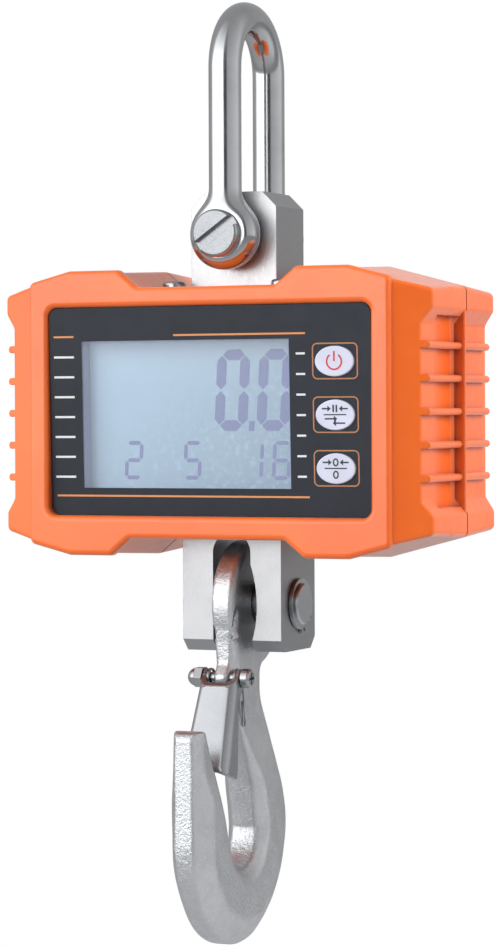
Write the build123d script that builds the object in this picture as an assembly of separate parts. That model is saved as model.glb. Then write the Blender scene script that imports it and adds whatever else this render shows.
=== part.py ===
from build123d import *
import os
from math import atan2, cos, degrees, radians, sin

os.makedirs("parts", exist_ok=True)

# Hanging crane scale. Millimetres, +Z up, display facing -Y.
# Modelled about the housing's centre, then moved so that the origin is the
# point inside the shackle's crown where a crane hook bears.

# ---- housing ----
SHELL_FRONT_Y = -39.2        # front plane of the tapered body, behind the bezel pad
PAD_FRONT_Y = -40.7
PAD_BACK_Y = -36.5
PAD_HALF_X = 73.3
PAD_PROUD = 1.0              # the bezel pad stands this far outside the body
REAR_Y = 40.7
PARTING_Y = 3.8
GASKET_T = 0.8
DRAFT_GROWTH = 2.0           # how much taller each shell is at the parting plane
WALL = 3.8
TOP_Z, TOP_FLAT_X = 52.6, 56.5
SIDE_X, SIDE_Z = 87.0, 44.5
TOP_RIM_X, TOP_FLOOR_X, TOP_FLOOR_Z = 36.0, 27.9, 45.9
LOW_RIM_X, LOW_FLOOR_X, LOW_FLOOR_Z = 39.2, 31.4, 46.1
GRIP_X, GRIP_Z, GRIP_RAMP_Z = 83.0, 32.5, 37.8
PROFILE_R = 2.4
CAVITY_X = 75.5
CAVITY_FRONT_Y = -29.0
FLARE_START = (PAD_HALF_X - 0.4, -38.6)
FLARE_END = (SIDE_X, -32.3)
RIB_PITCH, RIB_R, RIB_X = 12.2, 1.35, 84.5
SCOOP_X, SCOOP_Z, SCOOP_R = 81.8, 35.4, 4.6
BOSS_X, BOSS_Z, BOSS_R = 69.5, 38.0, 4.8
FLARE_R, PAD_R, LIP_T, RIB_END_Y = 1.5, 2.0, 1.4, 33.0
SHELL_SCREW_R, TOP_SCREW_R, COVER_SCREW_R = 1.7, 2.0, 1.25

# ---- display panel, leaning back at its foot ----
PANEL_X = 65.3
PANEL_TOP, PANEL_LOW = (39.34, 39.54), (36.72, -38.44)
PANEL_R = 3.6
OVERLAY_T, CARRIER_BACK = 0.8, 3.4
LCD_X0, LCD_X1, LCD_Z0, LCD_Z1 = -51.9, 33.1, -28.8, 26.5
LCD_GLASS_Y, LCD_GLASS_T, BACKLIGHT_T = 6.0, 2.0, 3.0
BOARD_Y, BOARD_T, BOARD_X, BOARD_Z = 12.0, 1.6, 60.0, 33.5
POST_X, POST_Z, POST_R = 56.5, 30.0, 2.6
OPENING_X, OPENING_Z = 61.0, 34.5
KEY_X, KEY_PITCH, KEY_MID_Z = 51.2, 19.6, -1.6
KEY_A, KEY_B, KEY_PROUD, KEY_TRAVEL, KEY_GAP = 7.7, 5.6, 0.9, 0.6, 0.25

# ---- battery compartment, in the rear shell ----
BATTERY_X, BATTERY_Z, BATTERY_Y = 28.6, 24.6, 18.5
COVER_X, COVER_Z, COVER_T, COVER_SCREW = 36.0, 31.0, 2.6, (31.6, 26.4)
CELL_R, CELL_L, CELL_PITCH = 7.1, 50.2, 15.2

# ---- load path ----
LUG_X, LUG_Y, LUG_TOP_Z, LUG_CHAMFER = 17.5, 13.4, 83.4, 5.8
CLEVIS_X, CLEVIS_Y, CLEVIS_LOW_Z, CLEVIS_CHAMFER = 20.2, 16.6, 90.3, 4.4
SLOT_HALF, SLOT_TOP_Z = 7.7, -45.3
RELIEF_R, RELIEF_X, RELIEF_TOP_Z = 48.0, 10.2, -50.0
BEAM_X, BEAM_Y = 16.0, 12.0
FLANGE_X, FLANGE_Y, FLANGE_T = 27.0, 23.5, 4.0
GAUGE_Z, GAUGE_POCKET = 11.0, 1.6
SEAL_T = 2.0
TOP_SCREW_X, TOP_SCREW_Y = 22.3, 18.8

SHACKLE_PIN_Z, SHACKLE_PIN_R = 67.0, 6.3
BAR_R, BOW_R, BOW_CENTRE_Z = 6.2, 20.9, 129.5
EAR_R, EAR_T, EAR_Y = 13.4, 12.0, 21.2
PIN_HEAD_R, PIN_HEAD_T, PIN_SLOT_W, PIN_SLOT_ANGLE = 9.0, 4.6, 4.2, 35.0

HOOK_PIN_Z, HOOK_PIN_R = -72.7, 7.9
CLIP_X0, CLIP_T = 20.5, 1.3
EYE_R, EYE_HALF, EYE_Y = 24.0, 4.5, -3.0
HOOK_BORE_R = HOOK_PIN_R + 0.09
BOWL_C, BOWL_R = (-19.0, -157.5), 42.2
THROAT_C, THROAT_R = (-19.5, -157.5), 14.0
LATCH_PIVOT = (-24.0, -99.5)
LATCH_BOSS_R, LATCH_BOLT_R = 3.9, 2.0
LATCH_SHEET, LATCH_TOP_HALF, LATCH_LOW_HALF = 1.2, 7.6, 9.4
BOWL_HALF, BOWL_TOP_Z = 8.4, -142.0
TIP_HALF, TIP_TOP_Z, TIP_BACK_Y = 6.0, -112.0, -26.0
SPRING_WIRE_R, SPRING_R = 0.42, 3.2

BEARING_Z = BOW_CENTRE_Z + BOW_R - BAR_R
PANEL_TILT = degrees(atan2(PANEL_TOP[0] - PANEL_LOW[0], PANEL_TOP[1] - PANEL_LOW[1]))
PANEL_MID_Y = -(PANEL_TOP[0] + PANEL_LOW[0]) / 2
PANEL_MID_Z = (PANEL_TOP[1] + PANEL_LOW[1]) / 2
PANEL_HALF_Z = (PANEL_TOP[1] - PANEL_LOW[1]) / 2
PANEL = Pos(0, PANEL_MID_Y, PANEL_MID_Z) * Rot(PANEL_TILT, 0, 0)


def save(name, shape):
    solids = list(shape.solids())
    body = solids[0] if len(solids) == 1 else Compound(children=solids)
    moved = Pos(0, 0, -BEARING_Z) * body
    moved.label = name
    export_step(moved, f"parts/{name}.step")


def block(x0, x1, y0, y1, z0, z1):
    size = (x1 - x0, y1 - y0, z1 - z0)
    return Pos((x0 + x1) / 2, (y0 + y1) / 2, (z0 + z1) / 2) * Box(*size)


def along_y(sketch, y0, y1):
    """Extrude a sketch drawn in X and Z from y0 to y1."""
    return extrude(Plane.XZ.offset(-y0) * sketch, y1 - y0, dir=(0, 1, 0))


def along_x(sketch, x0, x1):
    """Extrude a sketch drawn in Y and Z from x0 to x1."""
    return extrude(Plane.YZ.offset(x0) * sketch, x1 - x0, dir=(1, 0, 0))


def rod_x(x0, x1, y, z, r):
    return Pos((x0 + x1) / 2, y, z) * Rot(0, 90, 0) * Cylinder(r, x1 - x0)


def rod_y(y0, y1, x, z, r):
    return Pos(x, (y0 + y1) / 2, z) * Rot(90, 0, 0) * Cylinder(r, y1 - y0)


def mirrored(points):
    return points + [(-x, z) for x, z in reversed(points)]


def cut_all(shape, tools):
    for tool in tools:
        shape = shape - tool
    return shape


def corner(sketch, x, y):
    return sketch.vertices().sort_by_distance(Vector(x, y, 0))[0]


# ------------------------------------------------------------------ housing

def housing_profile(grow=0.0, inset=0.0):
    """The housing's outline in X and Z, with its channels and side grips."""
    top = [
        (TOP_FLOOR_X, TOP_FLOOR_Z + grow - inset),
        (TOP_RIM_X, TOP_Z + grow - inset),
        (TOP_FLAT_X, TOP_Z + grow - inset),
        (SIDE_X - inset, SIDE_Z + grow - inset),
        (SIDE_X - inset, GRIP_RAMP_Z),
        (GRIP_X - inset, GRIP_Z),
        (GRIP_X - inset, -GRIP_Z),
        (SIDE_X - inset, -GRIP_RAMP_Z),
        (SIDE_X - inset, -SIDE_Z - grow + inset),
        (TOP_FLAT_X, -TOP_Z - grow + inset),
        (LOW_RIM_X, -TOP_Z - grow + inset),
        (LOW_FLOOR_X, -LOW_FLOOR_Z - grow + inset),
    ]
    outline = Polygon(*mirrored(top), align=None)
    return fillet(outline.vertices(), PROFILE_R)


def cavity(y0, y1):
    corners = [
        (TOP_FLOOR_X + 1.6, TOP_FLOOR_Z - WALL),
        (TOP_RIM_X + 1.6, TOP_Z - WALL),
        (TOP_FLAT_X - 0.6, TOP_Z - WALL),
        (CAVITY_X, SIDE_Z - 0.8),
        (CAVITY_X, -SIDE_Z + 0.8),
        (TOP_FLAT_X - 0.6, -TOP_Z + WALL),
        (LOW_RIM_X + 1.6, -TOP_Z + WALL),
        (LOW_FLOOR_X + 1.6, -LOW_FLOOR_Z + WALL),
    ]
    return along_y(Polygon(*mirrored(corners), align=None), y0, y1)


def tapered_shell(y_small, y_large):
    """Loft from the outer end of a shell to its taller rim at the parting plane."""
    small = Plane.XZ.offset(-y_small) * housing_profile()
    large = Plane.XZ.offset(-y_large) * housing_profile(DRAFT_GROWTH)
    return loft([small, large], ruled=True)


def flare_cutter(front):
    """A wedge that slopes the ends of a shell back from its face."""
    x0, y0 = FLARE_START
    x1, y1 = FLARE_END
    slope = (y1 - y0) / (x1 - x0)
    x2 = SIDE_X + 6
    points = [(x0, y0), (x2, y0 + slope * (x2 - x0)), (x2, y0 - 20), (x0, y0 - 20)]
    if not front:
        lift = REAR_Y + 0.6
        points = [(x, lift - (y - y0)) for x, y in points]
    right = extrude(Pos(0, 0, -80) * Polygon(*points, align=None), 160, dir=(0, 0, 1))
    return right + mirror(right, Plane.YZ)


def grip_ribs(y0, y1):
    """Round-nosed horizontal ribs in both grip recesses."""
    ribs = []
    for step in range(-2, 3):
        z = step * RIB_PITCH
        nose = rod_y(y0, y1, RIB_X, z, RIB_R)
        web = block(GRIP_X - 6, RIB_X, y0, y1, z - RIB_R, z + RIB_R)
        rib = nose + web
        ribs += [rib, mirror(rib, Plane.YZ)]
    return ribs


def beam_ports():
    top = block(-LUG_X - SEAL_T, LUG_X + SEAL_T, -LUG_Y - SEAL_T, LUG_Y + SEAL_T,
                TOP_FLOOR_Z - WALL - 1, TOP_FLOOR_Z + DRAFT_GROWTH + 2)
    low = block(-CLEVIS_X - SEAL_T, CLEVIS_X + SEAL_T, -CLEVIS_Y - SEAL_T, CLEVIS_Y + SEAL_T,
                -LOW_FLOOR_Z - DRAFT_GROWTH - 2, -LOW_FLOOR_Z + WALL + 1)
    return top + low


def channel_floor_cut(y0, y1):
    """Keeps the two channel floors level from front to back."""
    top = block(-TOP_FLOOR_X + 0.6, TOP_FLOOR_X - 0.6, y0, y1, TOP_FLOOR_Z, TOP_Z + 4)
    low = block(-LOW_FLOOR_X + 0.6, LOW_FLOOR_X - 0.6, y0, y1, -TOP_Z - 4, -LOW_FLOOR_Z)
    return top + low


def bezel_pad():
    """The raised frame round the display, with rounded inner and outer edges."""
    corners = [
        (TOP_FLOOR_X, TOP_FLOOR_Z + PAD_PROUD),
        (TOP_RIM_X, TOP_Z + PAD_PROUD),
        (TOP_FLAT_X, TOP_Z + PAD_PROUD),
        (PAD_HALF_X, SIDE_Z + PAD_PROUD + 3.8),
        (PAD_HALF_X, -SIDE_Z - PAD_PROUD - 3.8),
        (TOP_FLAT_X, -TOP_Z - PAD_PROUD),
        (LOW_RIM_X, -TOP_Z - PAD_PROUD),
        (LOW_FLOOR_X, -LOW_FLOOR_Z - PAD_PROUD),
    ]
    outline = Polygon(*mirrored(corners), align=None)
    outline = fillet(outline.vertices(), PROFILE_R)
    pad = along_y(outline, PAD_FRONT_Y, PAD_BACK_Y)
    front = pad.faces().sort_by(Axis.Y)[0]
    return fillet(front.edges(), PAD_R)


def panel_recess():
    hole = RectangleRounded(2 * PANEL_X + 0.4, 2 * PANEL_HALF_Z + 0.4, PANEL_R)
    recess = PANEL * along_y(hole, -12, CARRIER_BACK)
    opening = PANEL * along_y(RectangleRounded(2 * OPENING_X, 2 * OPENING_Z, 3), 0, 20)
    return recess, opening


def boss_places():
    return [(sx * BOSS_X, sz * BOSS_Z) for sx in (-1, 1) for sz in (-1, 1)]


def flare_faces(shell):
    """The sloping faces at both ends of a shell."""
    found = []
    for face in shell.faces().filter_by(GeomType.PLANE):
        normal = face.normal_at()
        if face.area > 400 and 0.2 < abs(normal.X) < 0.8 and abs(normal.Y) > 0.5:
            found.append(face)
    return found


def soften_flares(shell, extra_edges=()):
    """Rounds the outer edges of the sloping end faces."""
    edges = list(extra_edges)
    for face in flare_faces(shell):
        edges += [e for e in face.edges() if abs(e.center().X) > PAD_HALF_X + 2]
    return fillet(edges, FLARE_R)


def grip_scoops(y_end):
    """Hollows at the back of the front shell's grips, curving up into the lip."""
    lip_y = y_end - LIP_T
    points = [(SIDE_X + 1, -24), (GRIP_X - 0.01, -22), (SCOOP_X, -7), (SCOOP_X, lip_y), (SIDE_X + 1, lip_y)]
    sketch = Polygon(*points, align=None)
    sketch = fillet(corner(sketch, SCOOP_X, lip_y), SCOOP_R)
    scoop = extrude(Pos(0, 0, -SCOOP_Z) * sketch, 2 * SCOOP_Z, dir=(0, 0, 1))
    return scoop + mirror(scoop, Plane.YZ)


def grip_lips(y_end):
    """Thin walls that close the grips at the parting plane, flush with the sides."""
    lip = block(SCOOP_X - 1, SIDE_X, y_end - LIP_T, y_end, -GRIP_RAMP_Z, GRIP_RAMP_Z)
    lip = fillet(lip.edges().filter_by(Axis.Z).sort_by(Axis.X)[-2:], 0.5)
    return lip + mirror(lip, Plane.YZ)


def front_shell():
    y_end = PARTING_Y - GASKET_T / 2
    shell = tapered_shell(SHELL_FRONT_Y, y_end)
    shell = soften_flares(shell - flare_cutter(True))
    shell = shell + grip_lips(y_end) - grip_scoops(y_end)
    for rib in grip_ribs(-36, y_end - LIP_T / 2):
        shell = shell + (rib - flare_cutter(True))
    shell = shell + bezel_pad()
    recess, opening = panel_recess()
    shell = shell - recess - opening
    rim_face = [f for f in shell.faces() if abs(f.center().Y - PAD_FRONT_Y) < 0.01][0]
    shell = fillet(rim_face.inner_wires()[0].edges(), PAD_R)
    shell = shell - channel_floor_cut(PAD_FRONT_Y + 4, y_end)
    shell = shell - cavity(CAVITY_FRONT_Y, y_end + 1) - beam_ports()
    for x, z in boss_places():
        shell = shell + rod_y(CAVITY_FRONT_Y - 1, y_end, x, z, BOSS_R)
        shell = shell - rod_y(y_end - 18, y_end, x, z, SHELL_SCREW_R)
    return cut_all(shell, top_screw_holes(TOP_SCREW_R + 0.15, 38, TOP_FLOOR_Z + 1))


def rear_shell():
    y_end = PARTING_Y + GASKET_T / 2
    shell = tapered_shell(REAR_Y, y_end) - flare_cutter(False)
    rear = shell.faces().filter_by(Axis.Y).sort_by(Axis.Y)[-1]
    shell = soften_flares(shell, rear.edges())
    for rib in grip_ribs(y_end + 0.8, RIB_END_Y):
        shell = shell + (rib - flare_cutter(False))
    shell = shell - channel_floor_cut(y_end, REAR_Y + 1)
    shell = shell - cavity(y_end - 1, REAR_Y - WALL) - beam_ports()
    for x, z in boss_places():
        shell = shell + rod_y(y_end, REAR_Y - WALL + 1, x, z, BOSS_R)
        shell = shell - rod_y(y_end, REAR_Y + 1, x, z, 2.2)
        shell = shell - rod_y(REAR_Y - 5, REAR_Y + 1, x, z, 4.0)
    plate = RectangleRounded(2 * COVER_X + 0.5, 2 * COVER_Z + 0.5, 4)
    mouth = RectangleRounded(2 * BATTERY_X, 2 * BATTERY_Z, 1.5)
    pad = along_y(RectangleRounded(2 * COVER_X + 5, 2 * COVER_Z + 5, 5), REAR_Y - 8, REAR_Y - 3)
    shell = shell + pad - along_y(plate, REAR_Y - COVER_T - 0.6, REAR_Y + 1)
    shell = shell - along_y(mouth, REAR_Y - 12, REAR_Y + 1)
    for sx, sz in cover_screw_places():
        shell = shell - rod_y(REAR_Y - 8, REAR_Y, sx, sz, COVER_SCREW_R)
    return cut_all(shell, top_screw_holes(TOP_SCREW_R + 0.15, 38, TOP_FLOOR_Z + 1))


def shell_gasket():
    """Flat rubber ring between the shells, set in from their outer edge."""
    ring = along_y(housing_profile(DRAFT_GROWTH, 1.0), PARTING_Y - GASKET_T / 2, PARTING_Y + GASKET_T / 2)
    ring = ring - cavity(PARTING_Y - 2, PARTING_Y + 2) - beam_ports()
    ring = ring - channel_floor_cut(PARTING_Y - 2, PARTING_Y + 2)
    return ring


def pan_screw_y(y_face, x, z, shank_r, head_r, head_t, length):
    """A cross-recessed pan-head screw whose head looks along +Y."""
    y_head = y_face + head_t
    head = rod_y(y_face, y_head, x, z, head_r)
    head = fillet(head.faces().sort_by(Axis.Y)[-1].edges(), head_t * 0.45)
    screw = head + rod_y(y_face - length, y_face, x, z, shank_r)
    arm, w, depth = head_r * 0.55, head_r * 0.13, head_t * 0.6
    screw = screw - block(x - arm, x + arm, y_head - depth, y_head + 1, z - w, z + w)
    return screw - block(x - w, x + w, y_head - depth, y_head + 1, z - arm, z + arm)


def shell_screws():
    return Compound(children=[
        pan_screw_y(REAR_Y - 5, x, z, SHELL_SCREW_R, 3.6, 2.6, 46) for x, z in boss_places()
    ])


def top_seal():
    outer = block(-LUG_X - SEAL_T, LUG_X + SEAL_T, -LUG_Y - SEAL_T, LUG_Y + SEAL_T,
                  TOP_FLOOR_Z - WALL, TOP_FLOOR_Z + 0.3)
    return outer - block(-LUG_X, LUG_X, -LUG_Y, LUG_Y, 0, 80)


def bottom_seal():
    outer = block(-CLEVIS_X - SEAL_T, CLEVIS_X + SEAL_T, -CLEVIS_Y - SEAL_T, CLEVIS_Y + SEAL_T,
                  -LOW_FLOOR_Z - 0.3, -LOW_FLOOR_Z + WALL)
    return outer - block(-CLEVIS_X, CLEVIS_X, -CLEVIS_Y, CLEVIS_Y, -80, 0)


def top_screws():
    """Pan heads on the upper channel floor, into the load beam's flange."""
    screws = []
    for sx in (-1, 1):
        for sy in (-1, 1):
            x, y = sx * TOP_SCREW_X, sy * TOP_SCREW_Y
            head = Pos(x, y, TOP_FLOOR_Z + 1.95) * Cylinder(4.4, 3.9)
            head = fillet(head.edges().sort_by(Axis.Z)[-1], 1.5)
            shank = Pos(x, y, TOP_FLOOR_Z - 3.4) * Cylinder(TOP_SCREW_R, 6.8)
            socket = Pos(x, y, TOP_FLOOR_Z + 3.7) * Box(4.6, 1.0, 1.6)
            cross = Pos(x, y, TOP_FLOOR_Z + 3.7) * Box(1.0, 4.6, 1.6)
            screws.append(head + shank - socket - cross)
    return Compound(children=screws)


def top_screw_holes(radius, z0, z1):
    holes = []
    for sx in (-1, 1):
        for sy in (-1, 1):
            hole = Pos(sx * TOP_SCREW_X, sy * TOP_SCREW_Y, (z0 + z1) / 2) * Cylinder(radius, z1 - z0)
            holes.append(hole)
    return holes


# ------------------------------------------------------------------ display

def key_places():
    return [KEY_MID_Z + step * KEY_PITCH for step in (1, 0, -1)]


def panel_plate(y0, y1):
    return along_y(RectangleRounded(2 * PANEL_X, 2 * PANEL_HALF_Z, PANEL_R), y0, y1)


def lcd_block(margin, y0, y1):
    return block(LCD_X0 - margin, LCD_X1 + margin, y0, y1, LCD_Z0 - margin, LCD_Z1 + margin)


def lcd_opening(y0, y1):
    """Clear view of the glass: ledges at both sides only, so none shows above or below."""
    return block(LCD_X0 + 0.6, LCD_X1 - 0.6, y0, y1, LCD_Z0 - 0.3, LCD_Z1 + 0.3)


def key_hole(z, grow, y0, y1):
    return along_y(Pos(KEY_X, z) * Ellipse(KEY_A + grow, KEY_B + grow), y0, y1)


def display_overlay():
    sheet = panel_plate(0, OVERLAY_T) - lcd_block(0, -1, 2)
    for z in key_places():
        sheet = sheet - key_hole(z, KEY_GAP, -1, 2)
    return PANEL * sheet


def display_frame():
    """Moulded carrier behind the overlay, with posts for the board."""
    plate = panel_plate(OVERLAY_T, CARRIER_BACK) - lcd_opening(0, 5)
    for z in key_places():
        plate = plate - key_hole(z, KEY_GAP, 0, 5)
        plate = plate - key_hole(z, KEY_GAP + 1.3, 1.9, 5)
    for sx in (-1, 1):
        for sz in (-1, 1):
            post = rod_y(CARRIER_BACK - 0.5, BOARD_Y, sx * POST_X, sz * POST_Z, POST_R)
            plate = plate + post - rod_y(BOARD_Y - 5, BOARD_Y, sx * POST_X, sz * POST_Z, 0.9)
    return PANEL * plate


def lcd_window():
    return PANEL * lcd_block(-0.05, 0.12, OVERLAY_T)


def lcd_holder():
    """Open box frame that spaces the glass behind the window."""
    back = LCD_GLASS_Y + LCD_GLASS_T + BACKLIGHT_T
    frame = lcd_block(1.8, CARRIER_BACK, back) - lcd_opening(0, 20)
    return PANEL * (frame - lcd_block(0.8, LCD_GLASS_Y, 20))


def lcd_glass():
    return PANEL * lcd_block(0.7, LCD_GLASS_Y, LCD_GLASS_Y + LCD_GLASS_T)


def lcd_backlight():
    y0 = LCD_GLASS_Y + LCD_GLASS_T
    return PANEL * lcd_block(0.7, y0, y0 + BACKLIGHT_T)


def main_board():
    board = along_y(RectangleRounded(2 * BOARD_X, 2 * BOARD_Z, 2), BOARD_Y, BOARD_Y + BOARD_T)
    for sx in (-1, 1):
        for sz in (-1, 1):
            board = board - rod_y(BOARD_Y - 1, BOARD_Y + 3, sx * POST_X, sz * POST_Z, 1.4)
    return PANEL * board


def board_screws():
    face = BOARD_Y + BOARD_T
    screws = [
        pan_screw_y(face, sx * POST_X, sz * POST_Z, 0.9, 2.2, 1.6, 6)
        for sx in (-1, 1) for sz in (-1, 1)
    ]
    return PANEL * Compound(children=screws)


def control_chip():
    y0 = BOARD_Y + BOARD_T
    chip = block(-26, -12, y0, y0 + 1.6, -7, 7)
    amplifier = block(14, 20, y0, y0 + 1.4, -20, -14)
    return PANEL * Compound(children=[chip, amplifier])


def buzzer():
    y0 = BOARD_Y + BOARD_T
    can = rod_y(y0, y0 + 5, 40, 18, 5.5) - rod_y(y0 + 4.4, y0 + 6, 40, 18, 1.2)
    return PANEL * can


def key_switches():
    switches = []
    for z in key_places():
        case = block(KEY_X - 3, KEY_X + 3, 7.6, BOARD_Y, z - 3, z + 3)
        switches.append(case + rod_y(6.8, 7.7, KEY_X, z, 1.6))
    return PANEL * Compound(children=switches)


def panel_key(z):
    """Oval key cap with a retaining flange and a stem over its switch."""
    cap = along_y(Pos(KEY_X, z) * Ellipse(KEY_A, KEY_B), -KEY_PROUD, 2.6)
    rim = cap.edges().filter_by(lambda e: abs(e.center().Y + KEY_PROUD) < 0.01)
    cap = fillet(rim, 0.5)
    flange = along_y(Pos(KEY_X, z) * Ellipse(KEY_A + 1.2, KEY_B + 1.2), 2.0, 2.6)
    stem = rod_y(2.5, 5.9, KEY_X, z, 2.0)
    return PANEL * (cap + flange + stem)


# ------------------------------------------------------------------ battery

def battery_box():
    """Open tray behind the load beam, wide enough for three cells."""
    mouth = along_y(RectangleRounded(2 * BATTERY_X, 2 * BATTERY_Z, 1.5), BATTERY_Y, REAR_Y - 5)
    inside = block(-BATTERY_X + 1.4, BATTERY_X - 1.4, BATTERY_Y + 1.4, REAR_Y,
                   -BATTERY_Z + 1.4, BATTERY_Z - 1.4)
    return mouth - inside


def battery_cells():
    cells = []
    for step in (-1, 0, 1):
        z = step * CELL_PITCH
        can = rod_x(-CELL_L / 2, CELL_L / 2 - 1.5, BATTERY_Y + 9.2, z, CELL_R)
        nub = rod_x(CELL_L / 2 - 1.6, CELL_L / 2 - 0.4, BATTERY_Y + 9.2, z, 2.7)
        cells.append(can + nub)
    return Compound(children=cells)


def battery_contacts():
    plates = []
    for step in (-1, 0, 1):
        z = step * CELL_PITCH
        x_end = BATTERY_X - 1.4
        y0, y1 = BATTERY_Y + 4, BATTERY_Y + 14
        plates.append(block(x_end - 0.5, x_end, y0, y1, z - 5, z + 5))
        coil = rod_x(-x_end + 0.4, -CELL_L / 2, BATTERY_Y + 9.2, z, 3.2)
        coil = coil - rod_x(-x_end + 0.5, -CELL_L / 2 + 1, BATTERY_Y + 9.2, z, 2.4)
        plates.append(block(-x_end, -x_end + 0.5, y0, y1, z - 5, z + 5) + coil)
    return Compound(children=plates)


def cover_screw_places():
    x, z = COVER_SCREW
    return [(sx * x, sz * z) for sx in (-1, 1) for sz in (-1, 1)]


def battery_cover():
    plate = along_y(RectangleRounded(2 * COVER_X, 2 * COVER_Z, 3.8), REAR_Y - COVER_T, REAR_Y)
    rear = plate.faces().sort_by(Axis.Y)[-1]
    plate = fillet(rear.edges(), 0.7)
    for step in range(-2, 3):
        groove = block(-14, 14, REAR_Y - 0.8, REAR_Y + 1, step * 4 - 0.8, step * 4 + 0.8)
        plate = plate - groove
    for x, z in cover_screw_places():
        plate = plate - rod_y(0, REAR_Y + 1, x, z, 1.6) - rod_y(REAR_Y - 1.6, REAR_Y + 1, x, z, 2.9)
    return plate


def battery_cover_gasket():
    y1 = REAR_Y - COVER_T
    ring = along_y(RectangleRounded(2 * COVER_X - 1, 2 * COVER_Z - 1, 3.3), y1 - 0.6, y1)
    ring = ring - block(-BATTERY_X, BATTERY_X, 0, 80, -BATTERY_Z, BATTERY_Z)
    for x, z in cover_screw_places():
        ring = ring - rod_y(0, REAR_Y, x, z, 1.6)
    return ring


def battery_cover_screws():
    return Compound(children=[
        pan_screw_y(REAR_Y - 1.6, x, z, COVER_SCREW_R, 2.6, 1.4, 6.2) for x, z in cover_screw_places()
    ])


# ------------------------------------------------------------------ load path


def load_beam():
    """One steel forging: shackle lug, gauged middle and hook clevis."""
    lug = block(-LUG_X, LUG_X, -LUG_Y, LUG_Y, TOP_FLOOR_Z - WALL - 1, LUG_TOP_Z)
    peaks = lug.edges().filter_by(Axis.Y).sort_by(Axis.Z)[-2:]
    lug = chamfer(peaks, LUG_CHAMFER)
    lug = lug - rod_y(-20, 20, 0, SHACKLE_PIN_Z, SHACKLE_PIN_R + 0.06)
    flange = block(-FLANGE_X, FLANGE_X, -FLANGE_Y, FLANGE_Y,
                   TOP_FLOOR_Z - WALL - FLANGE_T, TOP_FLOOR_Z - WALL)
    flange = cut_all(flange, top_screw_holes(TOP_SCREW_R, 30, TOP_FLOOR_Z))
    middle = block(-BEAM_X, BEAM_X, -BEAM_Y, BEAM_Y, -LOW_FLOOR_Z + WALL - 1, TOP_FLOOR_Z - WALL)
    for sz in (-1, 1):
        middle = middle - rod_y(-20, 20, 0, sz * GAUGE_Z, 8.5)
    middle = middle - block(-1.5, 1.5, -20, 20, -GAUGE_Z, GAUGE_Z)
    for sx in (-1, 1):
        x0, x1 = sorted((sx * (BEAM_X - GAUGE_POCKET), sx * (BEAM_X + 1)))
        middle = middle - block(x0, x1, -9, 9, -20, 20)
    clevis = block(-CLEVIS_X, CLEVIS_X, -CLEVIS_Y, CLEVIS_Y, -CLEVIS_LOW_Z, -LOW_FLOOR_Z + WALL)
    feet = clevis.edges().filter_by(Axis.X).sort_by(Axis.Z)[:2]
    clevis = chamfer(feet, CLEVIS_CHAMFER)
    slot_mid = SLOT_TOP_Z - SLOT_HALF
    clevis = clevis - block(-SLOT_HALF, SLOT_HALF, -30, 30, -100, slot_mid)
    clevis = clevis - rod_y(-30, 30, 0, slot_mid, SLOT_HALF)
    # the right jaw's inner face is hollowed beside the hook's eye
    hollow = rod_y(-30, 30, RELIEF_X - RELIEF_R, HOOK_PIN_Z, RELIEF_R)
    clevis = clevis - (hollow & block(0, 20, -30, 30, -120, RELIEF_TOP_Z))
    clevis = clevis - rod_x(-30, 30, 0, HOOK_PIN_Z, HOOK_PIN_R + 0.03)
    return lug + flange + middle + clevis


def gauge_covers():
    covers = []
    for sx in (-1, 1):
        x0, x1 = sorted((sx * (BEAM_X - 0.8), sx * BEAM_X))
        covers.append(block(x0, x1, -9, 9, -20, 20))
    return Compound(children=covers)


def strain_gauges():
    foils = []
    for sx in (-1, 1):
        for sz in (-1, 1):
            floor_x = BEAM_X - GAUGE_POCKET
            x0, x1 = sorted((sx * floor_x, sx * (floor_x + 0.3)))
            foils.append(block(x0, x1, -3, 3, sz * GAUGE_Z - 4, sz * GAUGE_Z + 4))
    return Compound(children=foils)


def gauge_lead():
    """Screened lead from the beam to the board, clipped along one side."""
    r = 1.1
    path = FilletPolyline((-18.2, -4, 0), (-23, -4, 0), (-23, -18, 0), (-23, -18, -22), (-17, -22, -22), radius=2.4)
    start = Plane(origin=path @ 0, z_dir=path % 0)
    return sweep(start * Circle(r), path=path)


def shackle_bow():
    """Round-bar bow with a flat-sided eye at the foot of each leg."""
    y = BOW_R
    leg_foot = SHACKLE_PIN_Z + 4
    line = Line((-y, leg_foot), (-y, BOW_CENTRE_Z))
    line = line + ThreePointArc((-y, BOW_CENTRE_Z), (0, BOW_CENTRE_Z + BOW_R), (y, BOW_CENTRE_Z))
    line = line + Line((y, BOW_CENTRE_Z), (y, leg_foot))
    path = Plane.YZ * line
    bow = sweep(Pos(0, -y, leg_foot) * Circle(BAR_R), path=path)
    for side in (-1, 1):
        y0, y1 = side * EAR_Y - EAR_T / 2, side * EAR_Y + EAR_T / 2
        ear = rod_y(y0, y1, 0, SHACKLE_PIN_Z, EAR_R)
        ear = fillet(ear.edges().filter_by(GeomType.CIRCLE), 2.6)
        bow = bow + ear
    return bow - rod_y(-40, 40, 0, SHACKLE_PIN_Z, SHACKLE_PIN_R + 0.02)


def shackle_pin():
    """Cross pin with a slotted head at the front, flush with the rear ear."""
    face = -(EAR_Y + EAR_T / 2)
    pin = rod_y(face, EAR_Y + EAR_T / 2 - 0.4, 0, SHACKLE_PIN_Z, SHACKLE_PIN_R)
    head = rod_y(face - PIN_HEAD_T, face, 0, SHACKLE_PIN_Z, PIN_HEAD_R)
    head = fillet(head.edges().sort_by(Axis.Y)[0], 1.1)
    slot = Pos(0, face - PIN_HEAD_T, SHACKLE_PIN_Z) * Rot(0, -PIN_SLOT_ANGLE, 0)
    return pin + head - slot * Box(30, 5.0, PIN_SLOT_W)


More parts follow.
